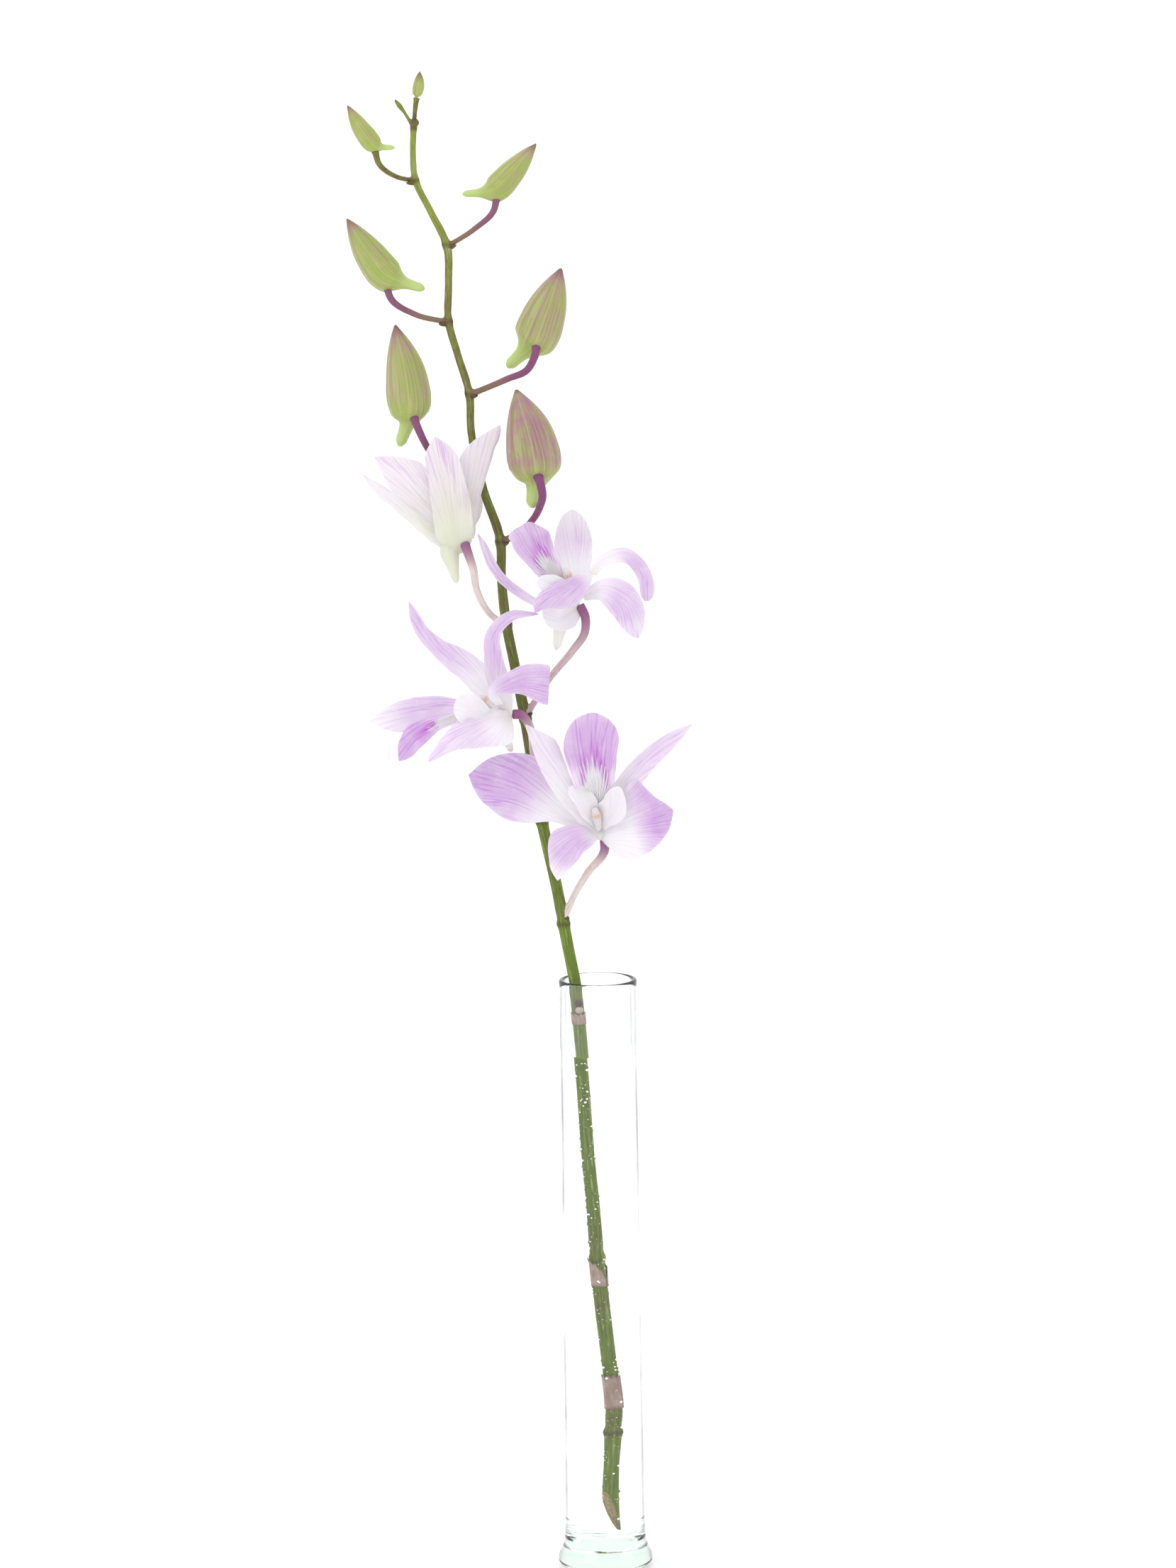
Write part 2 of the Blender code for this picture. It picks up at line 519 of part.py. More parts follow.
def make_stem(flowers, finish):
    """The cut stalk with its nodes, sheaths, flower stalks and one budlet that never grew."""
    path, radii = stalk_rings()
    stem = solid("stem", *tube(path, radii, STEM_SIDES), finish)
    cut_slanted(stem)
    branches = []
    for name, bud in BUDS.items():
        thick = 0.8 + 0.08 * bud.radius
        branches.append(pedicel(flowers[name], bud.base, bud.seat, bud.route, thick, thick * 0.72, finish))
    for name, bloom in BLOOMS.items():
        branches.append(pedicel(flowers[name], bloom.centre, bloom.seat, bloom.route,
                                BLOOM_STALK_TOP, BLOOM_STALK_FOOT, finish))
    aborted = curve_through(((-51.8, 0.0, 444.8), (-54.2, 0.0, 449.0), (-57.3, 0.0, 453.3)),
                            np.linspace(0.0, 1.0, 6))
    branches.append(solid("budlet", *tube(aborted, (0.7, 0.65, 0.6, 0.75, 0.7, 0.4), 6), finish))
    return boolean(stem, branches, "UNION")


def make_water(finish):
    """Water with a plain hole where the stalk stands in it."""
    water = turned("water", water_profile(), WATER_SIDES, finish)
    path, radii = stalk_rings(HOLE_GAP)
    under = path[:, 2] < WATER_LEVEL + 6.0
    hole = solid("hole", *tube(path[under], radii[under], STEM_SIDES), finish)
    hole.hide_render = True
    hole.display_type = "WIRE"
    return boolean(water, [hole], "DIFFERENCE")


def bud_rings(bud):
    """Middle points and radii of a bud, from its pointed tip over its belly into its chin."""
    stations = np.array((0.0, 0.03, 0.09, 0.18, 0.30, 0.43, 0.55, 0.66, 0.76, 0.85, 0.93, 1.0))
    path = curve_through((bud.tip, bud.belly, bud.base, bud.chin), stations)
    shape = ((0.0, 0.05), (0.12, 0.42), (0.30, 0.84), (0.47, 1.0), (0.62, 0.93), (0.73, 0.70), (0.82, 0.42),
             (0.91, 0.30), (1.0, 0.14))
    table = np.array(shape)
    return path, bud.radius * smooth_between(table[:, 0], table[:, 1], stations)


def make_bud(name, bud, finish):
    """One closed bud."""
    path, radii = bud_rings(bud)
    return solid(name, *tube(path, radii, BUD_SIDES), finish)


def tepal(part, centre, thick, grid, finish, reach=TEPAL_ROOT):
    """One tepal or lip, grown from near its bloom's centre."""
    start = np.array(centre) + reach * unit(np.array(part.route[0]) - np.array(centre))
    route = [start] + [np.array(place) for place in part.route]
    shape = blade(route, part.face_root, part.face_tip, part.half, part.outline, part.fold, part.lean,
                  thick, *grid)
    return solid("blade", *shape, finish)


def make_bloom(name, bloom, finishes):
    """One bloom: its five tepals with their spur, its lip and its column."""
    heart = solid(name, *ball(bloom.centre, bloom.receptacle), finishes["tepal"])
    spur_path = curve_through((bloom.centre, *bloom.spur), np.linspace(0.0, 1.0, 7))
    spur_radii = bloom.spur_radius * np.array((0.8, 0.96, 0.98, 0.84, 0.60, 0.40, 0.2))
    grown = [solid("spur", *tube(spur_path, spur_radii, 8), finishes["tepal"])]
    for part in bloom.tepals.values():
        grown.append(tepal(part, bloom.centre, TEPAL_THICK, TEPAL_GRID, finishes["tepal"]))
    boolean(heart, grown, "UNION")
    heart.name = f"{name}_tepals"
    lip = tepal(bloom.lip, bloom.centre, LIP_THICK, LIP_GRID, finishes["lip"], bloom.receptacle + LIP_CLEAR)
    lip.name = f"{name}_lip"
    way = unit(bloom.column)
    foot = np.array(bloom.centre) + way * (bloom.receptacle + COLUMN_CLEAR)
    column_path = curve_through((foot, foot + way * COLUMN_LENGTH), np.linspace(0.0, 1.0, 6))
    radii = COLUMN_RADIUS * np.array((0.8, 0.85, 0.95, 1.1, 1.05, 0.6))
    column = solid(f"{name}_column", *tube(column_path, radii, 8), finishes["column"])
    return heart


def build():
    """Make every piece."""
    clear_scene()
    glass = material("glass", (0.90, 0.96, 0.93), 0.03, alpha=0.35, transmission=1.0, ior=1.5)
    liquid = material("water", (0.95, 0.98, 1.0), 0.02, alpha=0.35, transmission=1.0, ior=1.33)
    stalk_green = material("stalk", (0.20, 0.28, 0.07), 0.45)
    bud_green = material("bud", (0.50, 0.58, 0.28), 0.5)
    finishes = {
        "tepal": material("tepal", (0.80, 0.66, 0.85), 0.55),
        "lip": material("lip", (0.66, 0.40, 0.78), 0.5),
        "column": material("column", (0.92, 0.90, 0.88), 0.4),
    }
    turned("vase", vase_profile(), VASE_SIDES, glass)
    make_water(liquid)
    flowers = {name: make_bud(name, bud, bud_green) for name, bud in BUDS.items()}
    for name, bloom in BLOOMS.items():
        flowers[name] = make_bloom(name, bloom, finishes)
    make_stem(flowers, stalk_green)


build()
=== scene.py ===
"""Dendrobium orchid spray in a tall glass tube of water.

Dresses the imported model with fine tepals, lips, columns, buds, stalk, glass, water and air bubbles,
each with its own procedural finish, on a bright studio stage. The tables are in millimetres, in the
model's own frame: the origin is the centre of the vase's underside, +Z is up and the blooms mostly
face -Y.
"""

import math
from collections import namedtuple

import bmesh
import bpy
import numpy as np
from mathutils import Matrix, Vector, kdtree, noise


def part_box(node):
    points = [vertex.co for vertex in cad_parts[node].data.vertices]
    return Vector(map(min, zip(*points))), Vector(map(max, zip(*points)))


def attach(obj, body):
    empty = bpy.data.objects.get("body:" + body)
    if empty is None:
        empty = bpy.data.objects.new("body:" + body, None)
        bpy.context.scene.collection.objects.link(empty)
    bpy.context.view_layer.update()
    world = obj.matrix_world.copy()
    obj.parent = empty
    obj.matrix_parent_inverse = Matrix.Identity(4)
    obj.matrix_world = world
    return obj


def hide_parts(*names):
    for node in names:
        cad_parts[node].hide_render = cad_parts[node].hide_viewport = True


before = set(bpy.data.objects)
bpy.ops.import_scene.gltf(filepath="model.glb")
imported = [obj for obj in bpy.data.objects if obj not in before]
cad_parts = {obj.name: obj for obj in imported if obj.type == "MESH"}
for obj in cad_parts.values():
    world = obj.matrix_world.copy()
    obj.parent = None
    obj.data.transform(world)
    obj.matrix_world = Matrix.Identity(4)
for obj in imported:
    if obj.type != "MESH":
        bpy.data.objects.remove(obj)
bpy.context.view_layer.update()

bl_info = {
    "name": "Dendrobium spray in glass",
    "version": (1, 0, 0),
    "blender": (4, 5, 0),
    "location": "3D View > Sidebar > Orchid",
    "description": "Dresses the packed orchid spray, its vase and its water",
    "category": "Object",
}

MM = 0.001

# The stalk's middle line from its cut end to its tip, as x, y, z and radius
STALK = (
    (1.9, -2.1, 8.0, 2.1), (1.4, -2.4, 23.0, 2.1), (1.8, -2.6, 34.0, 2.0), (2.3, -2.9, 43.3, 2.25),
    (2.6, -3.2, 52.0, 2.2), (1.8, -3.8, 62.5, 2.0), (0.0, -4.8, 84.0, 2.05), (-1.3, -5.4, 101.0, 1.95),
    (-2.3, -5.6, 118.0, 1.85), (-3.0, -5.6, 127.0, 1.85), (-4.5, -5.3, 155.0, 1.85),
    (-5.4, -4.9, 168.0, 1.9), (-6.9, -4.3, 184.0, 1.85), (-8.6, -3.9, 193.5, 1.8),
    (-10.2, -3.6, 202.5, 1.85), (-11.6, -3.3, 211.0, 1.8), (-16.3, -2.4, 234.0, 1.8),
    (-20.9, -1.6, 265.5, 1.8), (-23.9, -1.1, 282.0, 1.6), (-26.2, -0.8, 294.5, 1.6),
    (-27.5, -0.4, 309.0, 1.45), (-27.6, 0.0, 319.5, 1.5), (-32.4, 0.0, 335.0, 1.3),
    (-34.0, 0.0, 341.5, 1.3), (-36.0, 0.0, 354.0, 1.2), (-36.3, 0.0, 364.5, 1.25),
    (-39.5, 0.0, 376.0, 1.15), (-42.2, 0.0, 386.5, 1.2), (-42.0, 0.0, 398.0, 1.15),
    (-42.4, 0.0, 409.5, 1.25), (-47.0, 0.0, 419.5, 1.05), (-51.4, 0.0, 429.0, 1.05),
    (-52.0, 0.0, 437.5, 0.95), (-51.6, 0.0, 445.5, 0.95),
)
NODES = (43.3, 99.0, 202.5, 234.0, 265.5, 294.5, 319.5, 341.5, 364.5, 386.5, 409.5, 429.0, 444.5)
CUT_POINT = (3.9, -2.0, 12.5)
CUT_FACE = (-9.0, -8.0, -4.1)
# Dry sheaths round the stalk: foot height, top height, how far the split runs down, turn in degrees
SHEATHS = ((51.0, 61.8, 2.5, 80.0), (90.0, 98.5, 6.0, 325.0), (171.7, 175.0, 0.6, 95.0))

# Heights between which the stalk turns from green to brown and back, and of brown rings near its foot
BROWN_FROM, BROWN_TO, BROWN_RINGS = (236, 262), (392, 430), (47.0, 83.0, 104.0, 180.0)

# A bud: tip, widest, base and chin points, widest radius, flower stalk route, flush of mauve
Bud = namedtuple("Bud", "tip belly base chin radius stalk flush")
BUDS = {
    "bud_tip": Bud((-49.5, 0.0, 461.5), (-50.1, 0.0, 456.2), (-50.5, 0.0, 454.6), (-50.9, 0.0, 453.2), 1.75,
                   ((-50.6, 0.0, 453.6), (-51.0, 0.0, 451.0), (-51.6, 0.0, 445.0)), 0.1),
    "bud_c": Bud((-71.4, -4.0, 452.0), (-66.3, -3.6, 443.4), (-63.3, -3.2, 439.8), (-57.2, -3.4, 438.9), 3.0,
                 ((-63.2, -3.4, 438.0), (-62.3, -3.3, 434.5), (-57.1, -1.6, 430.2),
                  (-51.6, 0.0, 428.8)), 0.1),
    "bud_d": Bud((-14.9, 6.0, 439.2), (-23.2, 5.2, 429.8), (-27.2, 4.8, 425.9), (-37.5, 4.2, 424.3), 4.2,
                 ((-27.2, 3.4, 423.0), (-28.0, 2.0, 419.6), (-34.0, 0.8, 414.0), (-42.2, 0.0, 409.0)), 0.16),
    "bud_e": Bud((-72.4, 3.0, 417.6), (-65.2, 2.6, 406.2), (-61.4, 2.2, 401.2), (-49.2, 1.8, 396.0), 5.3,
                 ((-60.8, 0.6, 397.6), (-59.4, -0.8, 393.6), (-52.0, 0.0, 388.6), (-42.4, 0.0, 386.2)), 0.18),
    "bud_f": Bud((-8.0, -2.0, 402.2), (-13.2, -1.0, 388.4), (-16.4, 0.0, 380.8), (-24.8, 0.6, 372.2), 6.9,
                 ((-15.8, -4.6, 379.4), (-16.3, -7.6, 376.4), (-18.4, -7.4, 372.4), (-24.8, -4.8, 369.2),
                  (-36.2, 0.0, 364.2)), 0.38),
    "bud_g": Bud((-58.3, 1.0, 385.6), (-54.9, 1.4, 367.0), (-54.6, 1.8, 358.4), (-57.8, 2.2, 348.6), 6.7,
                 ((-53.2, -1.6, 358.0), (-52.2, -4.4, 355.6), (-50.2, -4.8, 351.0), (-47.6, -2.0, 346.4),
                  (-41.5, 1.0, 343.0), (-34.0, 0.0, 341.0)), 0.30),
    "bud_h": Bud((-22.1, -6.0, 366.2), (-17.8, -5.8, 350.0), (-16.6, -5.6, 340.6), (-17.8, -5.4, 330.2), 8.1,
                 ((-15.9, -11.0, 340.6), (-15.2, -13.6, 338.6), (-14.6, -13.2, 335.2), (-15.4, -9.6, 331.2),
                  (-20.6, -1.8, 323.4), (-27.6, 0.0, 319.0)), 1.0),
}

# Places from a blade's root to its tip at which its half widths are given
PLACES = (0.0, 0.1, 0.2, 0.35, 0.5, 0.65, 0.8, 0.9, 0.96, 1.0)
# Plain outlines, as shares of the greatest half width
SEPAL = (0.38, 0.62, 0.85, 1.0, 0.93, 0.80, 0.58, 0.37, 0.20, 0.05)
SCOOP = (0.50, 0.66, 0.82, 0.98, 1.0, 0.92, 0.70, 0.45, 0.26, 0.08)
RIBBON = (0.55, 0.72, 0.88, 1.0, 1.0, 1.0, 1.0, 0.95, 0.78, 0.35)
LOBE = (0.55, 0.78, 0.93, 1.0, 1.0, 0.96, 0.86, 0.68, 0.46, 0.20)


def even(outline, half):
    """A plain outline at a half width, the same on both sides."""
    return tuple(half * share for share in outline)


# A blade: route from its root to its tip, way it faces at both, half widths to the left and right as
# seen from the side it faces, cup at root, middle and tip, and tint: where the violet starts, its
# strength, how much the tip pales, and green
Blade = namedtuple("Blade", "route root tip left right cup tint")
# A bloom: centre, radius there, column line, spur line and radius, flower stalk, blades, lip
Bloom = namedtuple("Bloom", "centre radius column spur spur_radius stalk blades lobes")
BLOOMS = {
    "bloom_1": Bloom(
        (-40.6, -4.2, 321.6), 4.6, ((-39.3, -2.8, 325.2), (-40.0, -1.6, 329.6), (-40.3, -0.8, 333.4)),
        ((-42.8, -4.8, 317.6), (-42.0, -5.2, 312.6), (-41.0, -5.5, 307.6)), 3.1,
        ((-38.3, -8.6, 320.2), (-37.2, -9.6, 316.8), (-36.0, -8.6, 313.0), (-34.9, -6.0, 305.5),
         (-30.6, -3.4, 297.4), (-26.2, -0.8, 294.2)),
        {
            "petal_l": Blade(
                ((-42.0, -3.6, 320.5), (-49.4, -5.6, 331.0), (-57.6, -6.0, 339.6), (-64.9, -5.6, 346.3)),
                (0.3, 0.9, 0.2), (0.2, 0.95, -0.1), (2.6, 3.2, 3.8, 4.7, 5.9, 8.0, 5.9, 3.5, 1.6, 0.1),
                (5.0, 5.2, 5.2, 4.8, 4.8, 4.6, 3.4, 1.9, 0.9, 0.1), (0.35, 0.16, 0.0),
                (0.1, 0.45, 0.3, 0.35)),
            "sepal_l": Blade(
                ((-42.0, -2.6, 319.0), (-50.0, -3.0, 324.6), (-59.8, -2.6, 333.0), (-68.8, -2.4, 340.8)),
                (0.3, 0.8, 0.5), (0.3, 0.9, 0.2), (4.6, 4.4, 4.2, 3.8, 3.0, 2.2, 1.3, 0.7, 0.3, 0.1),
                (5.1, 4.8, 4.2, 3.4, 2.8, 2.5, 2.4, 1.6, 0.8, 0.1), (0.30, 0.16, 0.1),
                (0.3, 0.25, 0.0, 0.55)),
            "petal_r": Blade(
                ((-39.0, -3.6, 321.5), (-34.6, -5.6, 334.0), (-31.0, -5.4, 345.0), (-27.2, -4.6, 355.3)),
                (-0.3, 0.9, 0.1), (-0.3, 0.95, 0.0), (4.1, 3.4, 2.6, 1.6, 1.3, 1.2, 1.2, 1.2, 0.9, 0.1),
                (3.2, 4.0, 4.6, 5.6, 7.3, 8.3, 6.4, 3.4, 1.5, 0.1), (0.30, 0.12, 0.0),
                (0.1, 0.40, 0.3, 0.30)),
            "sepal_r": Blade(
                ((-38.0, 0.6, 322.0), (-36.4, 5.2, 331.0), (-34.6, 9.0, 342.0)), (-0.3, -0.9, 0.3),
                (-0.3, -0.9, 0.1), even(SEPAL, 4.2), even(SEPAL, 4.2), (0.2, 0.12, 0.0),
                (0.3, 0.20, 0.0, 0.5)),
            "dorsal": Blade(
                ((-40.8, -5.6, 316.6), (-41.2, -9.2, 320.2), (-42.6, -10.2, 332.0), (-44.4, -10.2, 342.0),
                 (-46.6, -9.4, 352.5)),
                (0.1, 1.0, 0.6), (0.1, 1.0, 0.1), (2.6, 4.6, 5.6, 6.0, 6.1, 5.9, 5.4, 3.8, 1.8, 0.1),
                (2.8, 4.9, 5.8, 5.8, 5.5, 5.1, 4.9, 3.8, 1.8, 0.1), (0.50, 0.18, 0.04),
                (0.2, 0.55, 0.0, 0.9)),
        },
        {
            "mid": Blade(((-40.6, 0.4, 324.7), (-42.6, 2.6, 329.0), (-45.0, 5.0, 335.0), (-48.0, 6.6, 340.6)),
                         (0.3, -0.6, 0.6), (0.4, -0.5, 0.8),
                         (0.7, 1.2, 1.9, 2.8, 3.1, 4.0, 4.3, 3.4, 2.2, 0.5),
                         (0.7, 1.2, 1.9, 2.8, 3.1, 4.0, 4.3, 3.4, 2.2, 0.5), (0.6, 0.3, -0.1),
                         (0.3, 0.6, 0.0, 0.2)),
        }),
    "bloom_2": Bloom(
        (-5.1, -5.5, 302.4), 2.5, ((-5.9, -6.7, 305.2), (-6.8, -7.6, 308.4), (-8.0, -8.4, 311.2)),
        ((-8.8, -6.2, 299.6), (-10.0, -6.8, 293.4), (-11.2, -7.0, 287.0)), 3.3,
        ((-4.0, -6.2, 300.6), (-2.4, -6.6, 297.4), (-2.4, -6.4, 292.6), (-6.4, -5.4, 286.4),
         (-12.6, -4.0, 279.0), (-20.9, -1.6, 266.0)),
        {
            "petal_far": Blade(
                ((-5.1, -4.5, 302.4), (-5.0, 1.0, 316.0), (-5.8, 4.0, 328.4)), (-0.1, -0.95, 0.2),
                (-0.1, -1.0, 0.0), (3.4, 4.6, 5.6, 6.1, 6.3, 6.1, 5.2, 3.9, 2.6, 0.6),
                (2.6, 3.2, 3.8, 4.6, 5.2, 5.3, 4.6, 3.4, 2.0, 0.5), (0.2, 0.16, 0.10),
                (0.35, 0.40, 0.9, 0.0)),
            "curl": Blade(
                ((0.2, -3.0, 309.6), (2.4, -1.4, 312.6), (6.0, 0.0, 314.4), (10.4, 1.5, 314.4),
                 (14.2, 2.5, 311.2), (16.4, 3.0, 306.0), (16.6, 3.0, 300.4)),
                (-0.1, -0.75, 0.6), (0.3, -0.95, 0.0), even(RIBBON, 2.3), even(RIBBON, 2.3),
                (0.2, 0.14, 0.05), (0.25, 0.65, 0.0, 0.0)),
            "dorsal": Blade(
                ((-2.6, -6.0, 303.6), (3.4, -8.0, 305.2), (9.6, -8.0, 301.0), (13.6, -6.4, 290.4)),
                (0.0, -0.95, 0.3), (0.2, -0.95, 0.1), (1.6, 2.0, 2.9, 5.0, 5.6, 4.7, 3.8, 2.6, 1.4, 0.4),
                (1.7, 2.3, 3.2, 4.4, 5.0, 4.9, 4.0, 2.7, 1.6, 0.4), (0.15, 0.10, -0.05),
                (0.15, 0.62, 0.5, 0.0)),
            "sepal_left": Blade(
                ((-6.0, -6.0, 300.6), (-15.6, -9.0, 301.0), (-24.6, -9.6, 306.0), (-30.4, -9.4, 312.8),
                 (-34.4, -9.0, 323.0)),
                (0.1, -0.9, 0.4), (0.4, -0.9, 0.2), (1.6, 1.4, 1.2, 0.8, 0.7, 1.0, 0.6, 0.3, 0.2, 0.1),
                (0.7, 0.9, 1.2, 1.9, 2.3, 2.0, 2.2, 1.7, 0.9, 0.1), (0.2, 0.16, 0.05), (0.2, 0.62, 0.4, 0.0)),
            "ribbed": Blade(
                ((-4.6, -7.0, 300.2), (-9.6, -10.6, 297.6), (-15.0, -12.4, 300.2)), (0.1, -0.9, -0.3),
                (0.2, -0.9, 0.1), (2.4, 3.2, 3.8, 4.2, 4.2, 3.9, 3.1, 2.2, 1.4, 0.5), even(LOBE, 3.2),
                (0.2, 0.25, 0.2), (0.6, 0.12, 0.0, 0.05)),
            "petal_near": Blade(
                ((-0.4, -6.5, 310.2), (-6.5, -13.5, 307.4), (-12.5, -19.0, 304.4), (-17.4, -20.8, 300.4)),
                (-0.2, -0.8, 0.5), (0.1, -0.9, 0.3), (1.1, 2.4, 3.6, 5.0, 5.9, 5.2, 2.6, 1.0, 0.5, 0.1),
                (0.6, 1.3, 2.0, 2.6, 3.0, 3.5, 3.5, 2.7, 1.6, 0.1), (0.2, -0.10, -0.35),
                (0.0, 0.75, 0.0, 0.0)),
        },
        {
            "mid": Blade(
                ((-7.4, -5.6, 305.7), (-12.6, -9.2, 311.6), (-16.8, -12.4, 318.6), (-20.2, -13.8, 326.4)),
                (0.3, -0.8, 0.4), (0.4, -0.9, 0.2), (3.6, 4.1, 4.2, 4.8, 5.4, 5.6, 6.2, 6.6, 6.4, 4.6),
                (1.4, 2.0, 2.7, 3.8, 5.0, 6.0, 5.6, 4.2, 3.0, 1.2), (0.35, 0.14, -0.12),
                (0.42, 0.75, 0.1, 0.04)),
            "near": Blade(
                ((-6.4, -8.6, 305.2), (-11.6, -13.4, 307.6), (-16.6, -15.6, 309.4)), (0.1, -0.9, 0.3),
                (0.3, -0.9, 0.2), (2.2, 2.8, 3.2, 3.6, 3.8, 3.6, 3.0, 2.2, 1.5, 0.6),
                (1.6, 2.0, 2.4, 2.8, 3.0, 2.9, 2.5, 1.9, 1.3, 0.5), (0.2, 0.2, 0.1), (0.9, 0.1, 0.0, 0.0)),
        }),
    "bloom_3": Bloom(
        (-26.8, -10.0, 268.0), 2.5, ((-29.4, -10.8, 269.7), (-32.0, -11.5, 272.0), (-34.4, -12.2, 273.4)),
        ((-27.4, -9.6, 264.0), (-26.4, -9.4, 260.0), (-25.1, -9.2, 256.4)), 2.7,
        ((-24.6, -9.4, 268.0), (-22.4, -8.6, 267.8), (-19.8, -7.4, 264.4), (-18.6, -6.0, 256.0),
         (-17.8, -4.4, 246.0), (-16.4, -2.4, 234.4)),
        {
            "petal_far": Blade(
                ((-26.8, -9.0, 268.0), (-36.0, -6.0, 278.6), (-46.8, -4.0, 287.6), (-55.6, -4.0, 302.0)),
                (-0.2, -0.95, -0.1), (-0.3, -0.9, 0.1), (2.4, 3.0, 3.4, 3.2, 2.6, 2.6, 3.1, 2.3, 1.1, 0.1),
                (2.4, 3.2, 4.4, 5.8, 5.2, 3.1, 1.1, 0.9, 0.5, 0.1), (0.2, 0.18, 0.10),
                (0.25, 0.62, 0.0, 0.0)),
            "dorsal": Blade(
                ((-26.8, -9.6, 268.0), (-30.2, -10.4, 284.0), (-29.4, -10.4, 293.4), (-24.0, -9.8, 298.0),
                 (-16.3, -8.8, 298.4)),
                (-0.3, -0.95, 0.0), (-0.2, -0.9, 0.4), (1.6, 2.0, 2.4, 2.7, 2.7, 2.5, 1.8, 1.0, 0.6, 0.1),
                (2.4, 3.6, 4.5, 3.9, 2.7, 2.1, 1.4, 1.0, 0.6, 0.1), (0.2, 0.16, 0.10),
                (0.15, 0.72, 0.2, 0.0)),
            "sepal_far": Blade(
                ((-26.8, -9.0, 268.0), (-44.5, -4.4, 269.8), (-57.5, -2.6, 268.0), (-68.4, -1.0, 265.2)),
                (0.0, -0.95, 0.2), (0.0, -1.0, 0.1), (1.6, 2.0, 2.4, 2.9, 4.0, 5.0, 5.6, 3.7, 1.6, 0.1),
                (1.4, 1.6, 1.8, 2.4, 3.6, 4.0, 3.4, 2.0, 0.9, 0.1), (0.2, 0.10, -0.04),
                (0.15, 0.60, 1.0, 0.0)),
            "petal_near": Blade(
                ((-28.4, -13.4, 271.6), (-29.4, -15.6, 274.6), (-22.0, -17.2, 278.6), (-13.4, -17.0, 278.0)),
                (-0.2, -0.95, 0.2), (0.0, -0.98, 0.2), (0.9, 1.8, 2.8, 3.6, 4.3, 5.3, 5.8, 5.8, 5.7, 5.3),
                (0.9, 0.9, 1.0, 1.6, 2.9, 4.1, 5.2, 5.8, 6.2, 6.1), (0.1, 0.05, 0.06), (0.1, 0.85, 0.0, 0.0)),
            "sepal_near": Blade(
                ((-26.2, -10.4, 268.0), (-33.0, -15.6, 266.0), (-41.0, -20.0, 262.6), (-50.1, -23.6, 256.0)),
                (-0.1, -0.9, 0.3), (-0.1, -0.95, 0.3), (3.6, 8.2, 8.7, 7.3, 5.4, 3.5, 1.8, 1.1, 0.6, 0.1),
                (1.5, 3.1, 4.3, 5.1, 4.8, 3.8, 2.5, 1.7, 0.9, 0.1), (0.1, -0.10, -0.20),
                (0.15, 0.42, 0.0, 0.0)),
        },
        {
            "mid": Blade(
                ((-30.7, -10.8, 268.0), (-39.4, -12.6, 268.2), (-46.5, -13.4, 266.0), (-53.5, -13.4, 261.5),
                 (-59.2, -13.0, 254.8)),
                (-0.1, -0.7, 0.7), (-0.2, -0.9, 0.3), (2.2, 2.4, 2.5, 2.3, 2.1, 2.4, 2.8, 2.4, 1.3, 0.2),
                (1.8, 2.0, 2.0, 1.6, 2.2, 4.4, 4.7, 3.4, 1.7, 0.2), (0.5, 0.10, -0.10),
                (0.42, 1.0, 0.0, 0.0)),
            "near": Blade(
                ((-31.6, -13.0, 268.6), (-36.8, -15.4, 270.2), (-42.0, -16.0, 272.6)), (-0.1, -0.95, 0.2),
                (-0.1, -0.95, 0.2), (1.4, 2.6, 3.6, 4.6, 5.0, 4.8, 4.0, 3.0, 2.0, 0.6),
                (1.4, 2.2, 3.0, 4.0, 4.6, 4.7, 4.2, 3.2, 2.2, 0.6), (0.2, 0.22, 0.2), (0.9, 0.05, 0.0, 0.0)),
        }),
    "bloom_4": Bloom(
        (1.2, -9.0, 230.6), 2.5, ((0.9, -11.2, 232.8), (0.5, -13.2, 235.8), (-0.1, -14.6, 238.9)),
        ((1.4, -5.0, 234.0), (1.6, -2.2, 237.0), (1.6, 0.5, 239.5)), 2.4,
        ((2.6, -8.6, 229.0), (2.7, -8.4, 226.4), (-2.9, -6.6, 218.2), (-7.4, -4.6, 210.2),
         (-10.3, -3.6, 202.8)),
        {
            "petal_l": Blade(
                ((1.2, -8.6, 230.6), (-12.0, -9.8, 238.0), (-24.5, -11.4, 246.0), (-38.2, -12.4, 250.1)),
                (0.1, -0.95, 0.2), (0.0, -1.0, 0.1), (1.6, 1.7, 2.0, 3.6, 8.3, 9.9, 8.4, 5.9, 2.8, 0.1),
                (1.6, 2.4, 3.5, 6.4, 9.6, 11.0, 8.8, 5.8, 2.8, 0.1), (0.2, 0.10, -0.05),
                (0.36, 0.95, 0.0, 0.0)),
            "sepal_r": Blade(
                ((1.2, -8.6, 230.6), (8.0, -9.4, 246.4), (18.0, -9.6, 256.2), (29.6, -7.0, 263.8)),
                (-0.1, -0.95, 0.2), (-0.1, -0.95, 0.2), (2.0, 2.2, 2.2, 1.8, 2.0, 2.2, 1.8, 1.4, 0.7, 0.1),
                (1.8, 3.0, 4.6, 5.6, 4.9, 3.8, 3.0, 1.7, 0.7, 0.1), (0.15, 0.14, 0.05),
                (0.35, 0.50, 0.3, 0.0)),
            "petal_r": Blade(
                ((1.2, -9.0, 230.6), (8.5, -12.6, 234.0), (15.5, -13.4, 236.2), (23.5, -9.6, 238.0)),
                (-0.1, -0.95, 0.2), (0.3, -0.9, 0.1), (2.0, 3.6, 5.4, 7.6, 10.6, 12.2, 6.8, 3.6, 1.8, 0.2),
                (1.8, 6.2, 9.3, 10.5, 10.3, 9.2, 7.2, 4.9, 2.6, 0.3), (0.1, -0.06, -0.16),
                (0.40, 1.0, 0.0, 0.0)),
            "dorsal": Blade(
